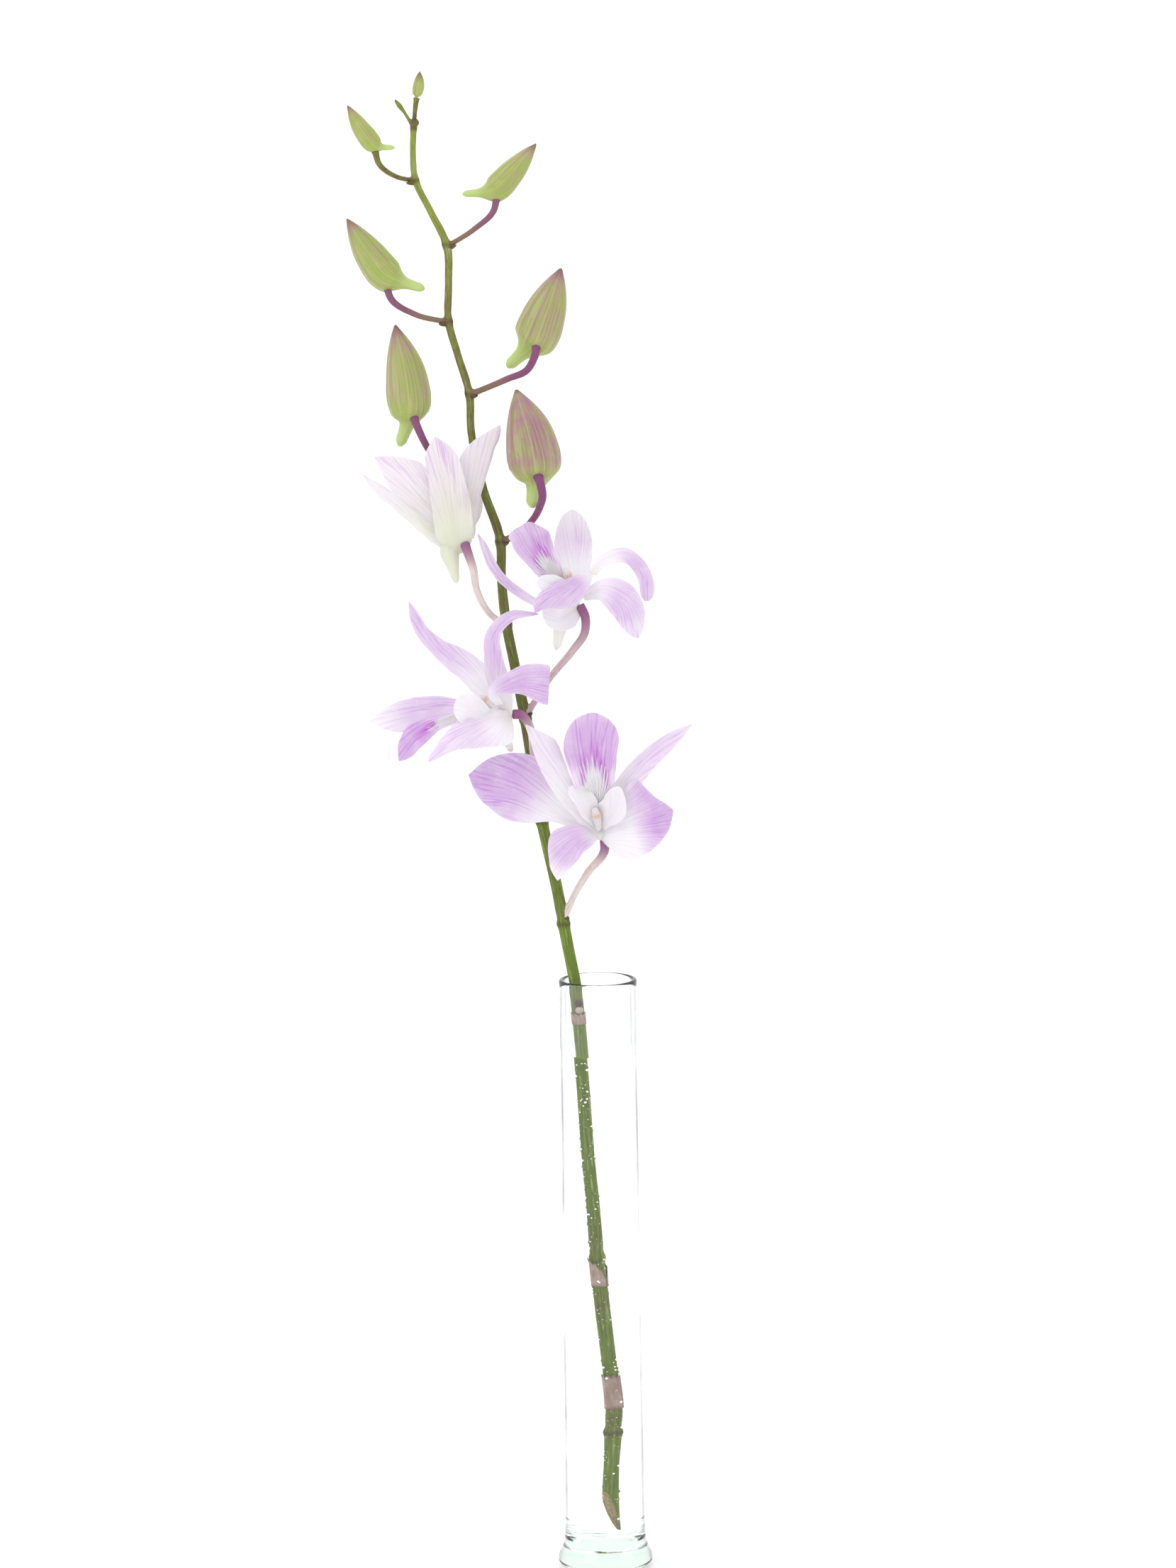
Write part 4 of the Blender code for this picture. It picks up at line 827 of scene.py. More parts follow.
def bud_finish(settings):
    """Bud skin: green with parallel veins, a mauve-brown flush that is partly painted shade along the bud's
    sides, a darker tip and a pale chin.
    """
    made, tree, shader, grain, tones = start_finish("Bud skin")
    veins = streaks(tree, grain, 4.6, 0.22, 0.15)
    patches = mottle(tree, 200.0)
    colour = blend(tree, ramp(tree, patches["Patches"], 0.0, 1.4), rgba(settings.bud_green), BUD_PATCH)
    # The red share carries the real flush and, along the bud's sides, painted shade
    flush = maths(tree, "MULTIPLY", tones["Red"], ramp(tree, patches["Patches"], -0.8, 1.0))
    colour = blend(tree, flush, colour, rgba(settings.bud_flush))
    band = maths(tree, "MULTIPLY", veins["Band"], 0.20)
    colour = blend(tree, band, colour, BUD_BAND)
    lines = maths(tree, "MULTIPLY", veins["Vein"], maths(tree, "MULTIPLY_ADD", tones["Red"], 0.30, 0.24))
    colour = blend(tree, lines, colour, BUD_VEIN)
    colour = blend(tree, tones["Green"], colour, BUD_CHIN)
    colour = blend(tree, tones["Blue"], colour, BUD_TIP)
    rough = spread(tree, patches["Fine"], 0.34, 0.56)
    height = relief_of_skin(tree, veins, patches, 0.2)
    finish_surface(tree, shader, colour, rough, height, 0.14, 0.22, (2.2, 2.2, 1.2))
    return made


def stalk_finish(settings):
    """Stalk skin: green to brown with dark lines, purple flower stalks and corky nodes. The brown is laid
    deeper along the stalk's sides as painted shade, and its pale streaks are partly painted highlight.
    """
    made, tree, shader, grain, tones = start_finish("Stalk skin")
    lines = streaks(tree, grain, 3.0, 0.9, 0.3)
    patches = mottle(tree, 420.0)
    # The green share carries the real brown and, along the stalk's sides, painted shade
    brown = maths(tree, "MULTIPLY", tones["Green"], ramp(tree, patches["Patches"], -0.6, 0.9))
    where = place(tree, "ShaderNodeTexCoord").outputs["Object"]
    young = ramp(tree, place(tree, "ShaderNodeSeparateXYZ", {0: where}).outputs["Z"], 310.0 * MM, 420.0 * MM)
    colour = blend(tree, young, rgba(settings.stalk_green), STALK_YOUNG)
    colour = blend(tree, brown, colour, rgba(settings.stalk_brown))
    band = maths(tree, "MULTIPLY", lines["Band"], maths(tree, "MULTIPLY_ADD", tones["Green"], -0.5, 0.75))
    colour = blend(tree, band, colour, rgba(settings.stalk_line))
    # Pale streaks along the stalk: partly real pale patches, partly painted highlight stripes
    pale = ramp(tree, mottle(tree, 150.0)["Patches"], 0.5, 1.1)
    colour = blend(tree, maths(tree, "MULTIPLY", pale, band), colour, STALK_PALE_AND_HIGHLIGHT)
    colour = blend(tree, maths(tree, "MULTIPLY", lines["Vein"], 0.55), colour, STALK_VEIN)
    foot = blend(tree, tones["Green"], rgba(settings.pedicel_cream), PEDICEL_FOOT)
    stalklet = blend(tree, ramp(tree, tones["Red"], 0.35, 1.0), foot, rgba(settings.pedicel_purple))
    stalklet = blend(tree, maths(tree, "MULTIPLY", lines["Vein"], 0.35), stalklet, PEDICEL_VEIN)
    colour = blend(tree, ramp(tree, tones["Red"], 0.0, 0.30), colour, stalklet)
    colour = blend(tree, tones["Blue"], colour, STALK_NODE)
    rough = spread(tree, patches["Fine"], 0.40, 0.62)
    height = relief_of_skin(tree, lines, patches, 0.3)
    finish_surface(tree, shader, colour, rough, height, 0.16, 0.12, (1.0, 1.0, 0.5))
    shader.inputs["Specular IOR Level"].default_value = 0.25
    return made


def cut_finish():
    """Freshly cut fibre: pale brown with darker pores."""
    made, tree, shader, _, _ = start_finish("Cut fibre")
    pores = mottle(tree, 900.0)
    colour = blend(tree, pores["Patches"], CUT_PALE, CUT_PORE)
    rough = spread(tree, pores["Fine"], 0.55, 0.8)
    finish_surface(tree, shader, colour, rough, pores["Patches"], 0.25, 0.1)
    return made


def sheath_finish(settings):
    """Dry papery sheath: pinkish brown, ribbed, with a dark torn edge."""
    made, tree, shader, grain, tones = start_finish("Dry sheath")
    ribs = streaks(tree, grain, 5.5, 0.6, 0.1)
    patches = mottle(tree, 300.0)
    colour = blend(tree, patches["Patches"], rgba(settings.sheath_brown), SHEATH_PALE)
    colour = blend(tree, maths(tree, "MULTIPLY", ribs["Vein"], 0.6), colour, SHEATH_RIB)
    colour = blend(tree, tones["Blue"], colour, SHEATH_EDGE)
    rough = spread(tree, patches["Fine"], 0.5, 0.8)
    finish_surface(tree, shader, colour, rough, ribs["Height"], 0.2, 0.1)
    return made


def let_light_pass(tree, shader):
    """Let lamps shine through a clear piece, and let light that is caught inside it out again."""
    path = place(tree, "ShaderNodeLightPath")
    dim = place(tree, "ShaderNodeBsdfTransparent", {"Color": (0.74, 0.74, 0.74, 1.0)})
    clear = place(tree, "ShaderNodeBsdfTransparent")
    shade = place(tree, "ShaderNodeMixShader", {0: path.outputs["Is Shadow Ray"], 1: shader.outputs[0],
                                                2: dim.outputs[0]})
    caught = maths(tree, "GREATER_THAN", path.outputs["Transmission Depth"], 6.5)
    out = place(tree, "ShaderNodeMixShader", {0: caught, 1: shade.outputs[0], 2: clear.outputs[0]})
    tree.links.new(out.outputs[0], tree.nodes["Material Output"].inputs["Surface"])


def clear_finish(name, ior, tint=None, rough=0.01):
    """A clear body seen through one of its faces, at the index of refraction against what lies beyond."""
    made, tree, shader, _, _ = start_finish(name)
    haze = mottle(tree, 60.0)
    shine = spread(tree, haze["Patches"], 0.0, rough)
    tree.links.new(shine, shader.inputs["Roughness"])
    shader.inputs["Base Color"].default_value = (1.0, 1.0, 1.0, 1.0)
    shader.inputs["Transmission Weight"].default_value = 1.0
    shader.inputs["IOR"].default_value = ior
    if tint:
        where = place(tree, "ShaderNodeTexCoord").outputs["Object"]
        height = place(tree, "ShaderNodeSeparateXYZ", {0: where}).outputs["Z"]
        thick = maths(tree, "SUBTRACT", 1.0, ramp(tree, height, 9.0 * MM, 14.0 * MM))
        colour = blend(tree, thick, GLASS_CLEAR, rgba(tint))
        # Painted reflection: a dark line just inside the glass's outline, where its faces turn edge-on,
        # broken up by soft patches
        edge_on = place(tree, "ShaderNodeLayerWeight", {"Blend": 0.5}).outputs["Facing"]
        line = maths(tree, "MULTIPLY", ramp(tree, edge_on, 0.58, 0.70),
                     maths(tree, "SUBTRACT", 1.0, ramp(tree, edge_on, 0.78, 0.90)))
        line = maths(tree, "MULTIPLY", line, ramp(tree, mottle(tree, 16.0)["Patches"], -0.1, 0.8))
        colour = blend(tree, line, colour, GLASS_PAINTED_EDGE_REFLECTION)
        tree.links.new(colour, shader.inputs["Base Color"])
    let_light_pass(tree, shader)
    return made


def bubble_finish():
    """Air bubbles under water, which shine like silver."""
    made, tree, shader, _, _ = start_finish("Air bubble")
    shine = mottle(tree, 900.0)
    colour = blend(tree, shine["Patches"], (0.90, 0.94, 0.92, 1.0), (1.0, 1.0, 1.0, 1.0))
    tree.links.new(colour, shader.inputs["Base Color"])
    shader.inputs["Metallic"].default_value = 0.85
    shader.inputs["Roughness"].default_value = 0.12
    return made


def floor_finish():
    """Plain white studio floor."""
    made, tree, shader, _, _ = start_finish("Studio floor")
    soft = mottle(tree, 6.0)
    colour = blend(tree, soft["Patches"], (0.93, 0.93, 0.93, 1.0), (0.95, 0.95, 0.95, 1.0))
    tree.links.new(colour, shader.inputs["Base Color"])
    shader.inputs["Roughness"].default_value = 0.7
    shader.inputs["Specular IOR Level"].default_value = 0.2
    return made


# Settings


def colour_setting(name, description, colour):
    """A colour that a user may change."""
    return bpy.props.FloatVectorProperty(name=name, description=description, default=colour, size=3, min=0.0,
                                         max=1.0, subtype="COLOR")


class OrchidSettings(bpy.types.PropertyGroup):
    """Sizes and colours that a user may change before dressing the model."""

    petal_thickness: bpy.props.FloatProperty(
        name="Petal thickness", description="Thickness of a tepal at its middle", default=0.00045, min=0.0001,
        max=0.001, precision=5, unit="LENGTH", subtype="DISTANCE")
    petal_rows: bpy.props.IntProperty(
        name="Petal rows", description="Rows of faces along each tepal", default=44, min=12, max=120)
    ruffle: bpy.props.FloatProperty(
        name="Ruffle", description="How strongly petal edges wave", default=1.0, min=0.0, max=3.0,
        subtype="FACTOR")
    bubble_count: bpy.props.IntProperty(
        name="Bubbles", description="Air bubbles that cling to the stalk under water", default=420, min=0,
        max=900)
    seed: bpy.props.IntProperty(name="Seed", description="Start of every random draw", default=7, min=0)
    petal_white: colour_setting("Petal white", "Colour of a petal's throat", (0.94, 0.925, 0.945))
    petal_violet: colour_setting("Petal violet", "Colour of a petal's blush", (0.73, 0.53, 0.80))
    petal_pink: colour_setting("Petal pink", "Blush of the half-open bloom", (0.87, 0.78, 0.84))
    vein_violet: colour_setting("Vein violet", "Colour of a petal's veins", (0.60, 0.30, 0.72))
    petal_green: colour_setting("Petal green", "Greenish cream at a petal's foot", (0.80, 0.84, 0.60))
    lip_magenta: colour_setting("Lip magenta", "Streaks on the lip", (0.58, 0.13, 0.66))
    bud_green: colour_setting("Bud green", "Ground colour of a bud", (0.31, 0.42, 0.07))
    bud_flush: colour_setting("Bud flush", "Mauve-brown flush on a bud", (0.36, 0.19, 0.23))
    stalk_green: colour_setting("Stalk green", "Ground colour of the stalk", (0.125, 0.205, 0.028))
    stalk_brown: colour_setting("Stalk brown", "Brown flush on the stalk", (0.15, 0.095, 0.05))
    stalk_line: colour_setting("Stalk line", "Pale lines along the stalk", (0.23, 0.29, 0.055))
    pedicel_purple: colour_setting("Flower stalk purple", "Flower stalk under its flower",
                                   (0.27, 0.075, 0.21))
    pedicel_cream: colour_setting("Flower stalk cream", "Flower stalk near the main stalk",
                                  (0.74, 0.64, 0.60))
    sheath_brown: colour_setting("Sheath brown", "Dry sheath round the stalk", (0.32, 0.225, 0.185))
    glass_tint: colour_setting("Glass tint", "Colour of the thick glass foot", (0.84, 0.96, 0.90))
    floor_size: bpy.props.FloatProperty(
        name="Floor size", description="Side of the square studio floor", default=60.0, min=1.0,
        unit="LENGTH", subtype="DISTANCE")


# Operators


class ORCHID_OT_tepals(bpy.types.Operator):
    """Make the sepals, petals and spur of each bloom"""

    bl_idname = "orchid.tepals"
    bl_label = "Make tepals"

    def execute(self, context):
        settings = context.scene.orchid
        open_finish = petal_finish("Tepal", settings, PETAL_SPECK)
        half_open_finish = petal_finish("Half-open tepal", settings, PETAL_SPECK, settings.petal_pink)
        for index, (name, bloom) in enumerate(BLOOMS.items()):
            parts = self.heart(bloom)
            for k, blade in enumerate(bloom.blades.values()):
                add_blade(parts, blade, settings.petal_thickness / MM, settings.petal_rows, TEPAL_COLUMNS,
                          settings.ruffle, 3.0 * index + k, blade_tone(blade))
            finish = half_open_finish if index == 0 else open_finish
            parts.piece(f"{name}_sepals_petals", finish, "tepal", f"{name}_tepals")
        return {"FINISHED"}

    def heart(self, bloom):
        """The swollen middle of a bloom with its spur, grown together."""
        fine = np.linspace(0.0, 1.0, 22)
        centre = np.array(bloom.centre)
        stalk_way = unit(np.array(bloom.stalk[0]) - centre)
        full = bloom.radius > FULL_HEART
        steps, girth = np.linspace(-0.95, 0.95, 14), bloom.radius * (1.0 if full else 0.66)
        knob = Tube(centre + np.outer(steps * girth, stalk_way), girth * np.sqrt(1 - steps**2), 20)
        spur_path = curve_through((bloom.centre, *bloom.spur), fine)
        widths = smooth_between((0.0, 0.2, 0.4, 0.6, 0.8, 0.93, 1.0),
                                (0.7, 1.0, 0.95, 0.68, 0.46, 0.34, 0.12), fine)
        spur = Tube(spur_path, bloom.spur_radius * widths, 18)
        green = 0.75 if full else 0.30

        def tone(index, share, points, grain):
            leaf = np.full(len(share), green if index else green * 0.7)
            return np.stack([np.zeros_like(leaf), leaf, np.zeros_like(leaf)], axis=1)

        return grow_together((knob, spur), 0.3, 6, tone)


class ORCHID_OT_lips(bpy.types.Operator):
    """Make the lip of each bloom with its side lobes and callus"""

    bl_idname = "orchid.lips"
    bl_label = "Make lips"

    def execute(self, context):
        settings = context.scene.orchid
        finish = petal_finish("Lip", settings, settings.lip_magenta)
        for index, (name, bloom) in enumerate(BLOOMS.items()):
            parts = Parts()
            for k, (part, blade) in enumerate(bloom.lobes.items()):
                middle = part == "mid"
                add_blade(parts, blade, settings.petal_thickness / MM, *(LIP_GRID if middle else LOBE_GRID),
                          settings.ruffle * (1.5 if middle else 1.0), 11.0 + 3.0 * index + k,
                          lip_tone(blade) if middle else blade_tone(blade))
            self.callus(parts, bloom.lobes["mid"])
            parts.piece(f"{name}_lip_lobes", finish, "lip", f"{name}_lip")
        return {"FINISHED"}

    def callus(self, parts, blade):
        """Raised ridges that fan out over the lower half of the lip."""
        grid, normal = blade_grid(blade, *LIP_GRID, 0.0, 0.0)[:2]
        first, last, middle = 8, 36, LIP_GRID[1] // 2
        side = np.sign(np.dot(normal[2 * first, middle], unit(blade.root)))
        for ridge in range(-5, 6):
            rows = np.arange(first, last - int(0.40 * ridge * ridge))
            share = (rows - first) / (last - first)
            columns = middle + ridge * (1.0 + 1.9 * share)
            low = np.floor(columns).astype(int)
            part = (columns - low)[:, None]
            line = grid[rows, low] * (1 - part) + grid[rows, low + 1] * part
            line = line + side * normal[rows, low] * 0.26
            steps = np.linspace(0.0, 1.0, len(line))
            limb = Tube(line, 0.08 + 0.22 * np.sin(math.pi * steps) ** 0.5, 8)
            rings = np.repeat(np.arange(len(line)), 8)
            parts.add(limb.points, limb.faces(), limb.grain(limb.points, rings), (0.0, 0.05, 0.0))


class ORCHID_OT_columns(bpy.types.Operator):
    """Make the column of each bloom with its anther cap"""

    bl_idname = "orchid.columns"
    bl_label = "Make columns"

    def execute(self, context):
        settings = context.scene.orchid
        finish = petal_finish("Column wax", settings, ANTHER_ORANGE)
        fine = np.linspace(0.0, 1.0, 26)
        for name, bloom in BLOOMS.items():
            path = curve_through(bloom.column, fine)
            widths = smooth_between((0.0, 0.25, 0.5, 0.75, 0.9, 1.0), (1.0, 1.1, 1.3, 1.5, 1.4, 0.8), fine)
            body = Tube(path, widths, 20, 0.8)
            tip = path[-1]
            way = unit(path[-1] - path[-4])
            cap_path = tip + np.outer(np.linspace(-0.6, 1.1, 9), way)
            cap = Tube(cap_path, 1.05 * np.sqrt(np.clip(1 - np.linspace(-0.9, 0.97, 9) ** 2, 0.05, 1)), 16)

            def tone(index, share, points, grain):
                spot = 0.65 * bell(share, 0.80, 0.12) * (index == 0)
                return np.stack([np.full(len(share), 0.10), np.full(len(share), 0.20), spot], axis=1)

            parts = grow_together((body, cap), 0.22, 3, tone)
            parts.piece(f"{name}_column_cap", finish, "column", f"{name}_column")
        return {"FINISHED"}


class ORCHID_OT_buds(bpy.types.Operator):
    """Make the closed buds with their seams and chins"""

    bl_idname = "orchid.buds"
    bl_label = "Make buds"

    def execute(self, context):
        finish = bud_finish(context.scene.orchid)
        for index, (name, bud) in enumerate(BUDS.items()):
            self.make(name, bud, finish, 1.1 * index)
        return {"FINISHED"}

    def make(self, name, bud, finish, turn):
        """One bud: a pointed body, a full heel and a chin, grown together."""
        fine = np.linspace(0.0, 1.0, 40)
        path = curve_through((bud.tip, bud.belly, bud.base, bud.chin), fine)
        widths = smooth_between((0.0, 0.04, 0.12, 0.30, 0.47, 0.60, 0.69, 0.75, 0.81, 0.90, 0.97, 1.0),
                                (0.05, 0.17, 0.40, 0.78, 0.96, 1.0, 0.90, 0.60, 0.37, 0.28, 0.22, 0.08), fine)
        body = Tube(path, bud.radius * widths, 28)
        way = unit(np.array(bud.base) - np.array(bud.belly))
        heel_points = [np.array(bud.base) + way * bud.radius * k for k in (-0.9, -0.3, 0.0, 0.2, 0.34, 0.40)]
        few = np.linspace(0.0, 1.0, 16)
        girths = smooth_between((0.0, 0.46, 0.69, 0.85, 0.95, 1.0), (0.9, 0.90, 0.80, 0.62, 0.36, 0.12), few)
        heel = Tube(curve_through(heel_points, few), bud.radius * girths, 24)

        def seam(grain):
            angle = np.arctan2(grain[:, 1], grain[:, 0]) + turn
            return np.abs(np.sin(1.5 * angle))

        def tone(part, share, points, grain):
            along = share if part == 0 else 0.55 + 0.2 * share
            chin = smooth_step(0.66, 0.92, along)
            dark_reach = 0.05 + 0.12 * (1 - bud.flush) + 0.30 * (bud.radius < 2)
            tip = 0.75 * (1 - smooth_step(0.0, dark_reach, along))
            line = 0.16 * bell(seam(grain), 0.0, 0.05) * (1 - chin)
            flush = 1.5 * bud.flush * (1 - smooth_step(0.50, 0.78, along))
            # Painted shade: the flush is laid deeper on the bud's left and right sides, as seen from the
            # camera
            flush *= 0.72 + 0.28 * np.abs(grain[:, 0])
            flush += 0.5 * (1 - smooth_step(0.05, 0.28, along)) + 0.25 * bell(seam(grain), 0.0, 0.16)
            return np.stack([flush, 0.75 * chin, tip + line], axis=1)

        def relief(part, share, grain):
            along = share if part == 0 else 0.55 + 0.2 * share
            groove = -0.030 * bud.radius * bell(seam(grain), 0.0, 0.08)
            angle = np.arctan2(grain[:, 1], grain[:, 0])
            ribs = 0.006 * bud.radius * np.cos(14 * angle)
            return (groove + ribs) * smooth_step(0.0, 0.12, along) * (1 - smooth_step(0.6, 0.8, along))

        voxel = 0.16 if bud.radius < 2 else 0.3
        parts = grow_together((body, heel), voxel, 8, tone, relief)
        parts.piece(f"{name}_sepals", finish, "bud", name)


class ORCHID_OT_stalk(bpy.types.Operator):
    """Make the stalk with its nodes, flower stalks, bracts and dry sheaths"""

    bl_idname = "orchid.stalk"
    bl_label = "Make stalk"

    def execute(self, context):
        settings = context.scene.orchid
        parts = self.stalk()
        skin = stalk_finish(settings)
        made = parts.piece("stalk_and_flower_stalks", skin, "stalk", "stem")
        self.cut(made)
        self.sheaths().piece("dry_sheaths", sheath_finish(settings), "stalk")
        self.bracts(settings).piece("bracts", skin, "stalk")
        self.scar().piece("bud_scar", skin, "stalk")
        return {"FINISHED"}

    def stalk(self):
        """The main stalk and every flower stalk, grown together."""
        heights = np.linspace(STALK[0][2], STALK[-1][2], 720)
        path, radii = stalk_at(heights)
        limbs, kinds = [Tube(path, radii, 16)], [("stalk", 0.0)]
        for bud in BUDS.values():
            route = curve_through(bud.stalk, np.linspace(0.0, 1.0, 60))
            thick = 0.8 + 0.08 * bud.radius
            share = np.linspace(0.0, 1.0, 60)
            widths = thick * (0.70 + 0.30 * (1 - share) ** 2) + 0.28 * bell(share, 0.0, 0.04)
            widths += 0.35 * smooth_step(0.88, 1.0, share)
            limbs.append(Tube(route, widths, 14))
            kinds.append(("bud", bud.flush))
        for name, bloom in BLOOMS.items():
            route = curve_through(bloom.stalk, np.linspace(0.0, 1.0, 80))
            share = np.linspace(0.0, 1.0, 80)
            widths = 1.0 + 0.55 * (1 - share) ** 2.2 + 0.25 * smooth_step(0.9, 1.0, share)
            limbs.append(Tube(route, widths, 14))
            kinds.append(("bloom", 0.3 if name == "bloom_2" else 0.6))
        share = np.linspace(0.0, 1.0, 24)
        budlet = curve_through(((-51.8, 0.0, 444.8), (-54.2, 0.0, 449.0), (-57.3, 0.0, 453.3)), share)
        limbs.append(Tube(budlet, smooth_between((0.0, 0.5, 0.8, 1.0), (0.65, 0.55, 0.75, 0.25), share), 12))
        kinds.append(("budlet", 0.0))

        def tone(index, share, points, grain):
            z, none = points[:, 2], np.zeros(len(points))
            kind, amount = kinds[index]
            if kind == "stalk":
                brown = smooth_step(*BROWN_FROM, z) * (1 - smooth_step(*BROWN_TO, z))
                # Painted shade: the brown is laid deeper on the stalk's left and right sides, as seen from
                # the camera, than on its middle
                brown *= 0.55 + 0.45 * np.abs(grain[:, 0])
                brown += 0.35 * smooth_step(200, 206, z) * (1 - smooth_step(226, 234, z))
                brown += sum(0.55 * bell(z, ring, 6.0) for ring in BROWN_RINGS)
                dark = sum(0.60 * bell(z, node, 0.8) for node in NODES if node > 180 or node < 50)
                return np.stack([none, brown, np.clip(dark, 0, 0.8)], axis=1)
            if kind == "budlet":
                return np.stack([none, 0.2 + 0.3 * share, 0.5 * smooth_step(0.85, 1.0, share)], axis=1)
            if kind == "bloom":
                purple = 0.9 - amount * smooth_step(0.0, 0.4, share)
                return np.stack([purple, none, 0.25 * smooth_step(0.95, 1.0, share)], axis=1)
            purple = (0.45 + 0.55 * amount) * (1 - smooth_step(0.3, 1.0, share)) * (amount > 0.12)
            return np.stack([0.25 * (amount > 0.12) + purple, 0.75 + 0.25 * share,
                             0.25 + 0.1 * smooth_step(0.94, 1.0, share)], axis=1)

        return grow_together(limbs, 0.34, 4, tone)

    def cut(self, stalk):
        """Cut the lower end off on a slant that shows its face, as a knife does."""
        low = Vector(CUT_POINT) * MM
        normal = Vector(CUT_FACE).normalized()
        shell = bmesh.new()
        shell.from_mesh(stalk.data)
        whole = shell.verts[:] + shell.edges[:] + shell.faces[:]
        done = bmesh.ops.bisect_plane(shell, geom=whole, plane_co=low, plane_no=normal, dist=1e-7,
                                      clear_outer=True)
        rim = [item for item in done["geom_cut"] if isinstance(item, bmesh.types.BMEdge)]
        for face in bmesh.ops.contextual_create(shell, geom=rim)["faces"]:
            face.material_index = 1
        stalk.data.materials.append(cut_finish())
        shell.to_mesh(stalk.data)
        shell.free()
        stalk.data.shade_smooth()

    def sheaths(self):
        """Thin dry sheaths that wrap the stalk, each with a split down one side."""
        parts = Parts()
        for foot, top, split, turn in SHEATHS:
            rows, columns = 22, 48
            share = np.linspace(0.0, 1.0, rows)
            angle = np.radians(np.linspace(6.0, 354.0, columns) + turn)
            away = np.abs(np.linspace(-1.0, 1.0, columns))
            grids = []
            for grow in (0.10, 0.26):
                grid = np.zeros((rows, columns, 3))
                for j in range(columns):
                    ragged = 0.35 * math.sin(9.0 * angle[j]) + 0.2 * math.sin(23.0 * angle[j])
                    reach = top - split * away[j] ** 3 + ragged
                    heights = foot + (reach - foot) * share
                    path, radii = stalk_at(heights, grow)
                    flare = (0.12 * share**2 + 0.06 * np.sin(5 * angle[j])) * (foot < 150)
                    flare -= 0.04 * (foot > 150)
                    radii = radii + flare
                    grid[:, j] = path + np.stack([np.cos(angle[j]) * radii, np.sin(angle[j]) * radii,
                                                  np.zeros(rows)], axis=1)
                grids.append(grid.reshape(-1, 3))
            self.add_skin(parts, grids, rows, columns, share, angle)
        return parts

    def add_skin(self, parts, grids, rows, columns, share, angle):
        """Add a closed skin between an inner and an outer grid."""
        ss, aa = np.meshgrid(share, angle, indexing="ij")
        grain = np.stack([np.cos(aa), np.sin(aa), ss], axis=2).reshape(-1, 3)
        dark = 0.8 * smooth_step(0.9, 1.0, ss) + 0.7 * (1 - smooth_step(0.0, 0.08, ss))
        tone = np.stack([np.zeros_like(ss), np.zeros_like(ss), dark], axis=2).reshape(-1, 3)
        parts.add(np.concatenate(grids), shell_faces(rows, columns), np.concatenate([grain, grain]),
                  np.concatenate([tone, tone]))

    def scar(self):
        """The scar of a lost bud above the highest sheath: a pale eye under a dark cap."""
        parts = Parts()
        for height, lift, size, tone in ((176.1, 0.35, (1.15, 1.10), (0.20, 0.0, 0.0)),
                                         (176.0, 0.80, (0.28, 0.30), (0.9, 0.0, 0.6)),
                                         (178.2, 0.18, (1.25, 1.20), (0.9, 0.3, 0.75))):
            path, radii = stalk_at(np.array([height]))
            centre = path[0] + np.array([0.45, -radii[0] - lift + 0.55, 0.0])
            steps = np.linspace(-0.97, 0.97, 13)
            line = centre + np.outer(steps * size[1], (0.0, 0.0, 1.0))
            knob = Tube(line, size[0] * np.sqrt(1 - steps**2), 18, 0.55)
            rings = np.repeat(np.arange(13), 18)
            parts.add(knob.points, knob.faces(), knob.grain(knob.points, rings), tone)
        return parts

    def bracts(self, settings):
        """Small dark pointed bracts that clasp the foot of each flower stalk from below."""
        parts = Parts()
        feet = [np.array(kind.stalk) for kind in (*BUDS.values(), *BLOOMS.values())]

        def dark(t, v):
            return np.stack([0 * t, 1 + 0 * t, 0.45 + 0.4 * smooth_step(0.6, 1.0, t)], axis=1)

        for index, foot in enumerate(feet):
            way = unit(foot[-2] - foot[-1])
            below = unit(np.array([0.0, -0.35, -1.0]) - way * np.dot((0.0, -0.35, -1.0), way))
            start = foot[-1] - way * 0.3 + below * 1.0
            route = (tuple(start), tuple(start + way * 1.5 + below * 0.35),
                     tuple(start + way * 2.9 + below * 0.1))
            blade = Blade(route, tuple(-below), tuple(-below), even(SCOOP, 1.3), even(SCOOP, 1.3),
                          (0.7, 0.5, 0.2), (0.0, 0.0, 0.0, 0.0))
            add_blade(parts, blade, 0.22, 14, 11, 0.3 * settings.ruffle, 31.0 + index, dark)
        return parts


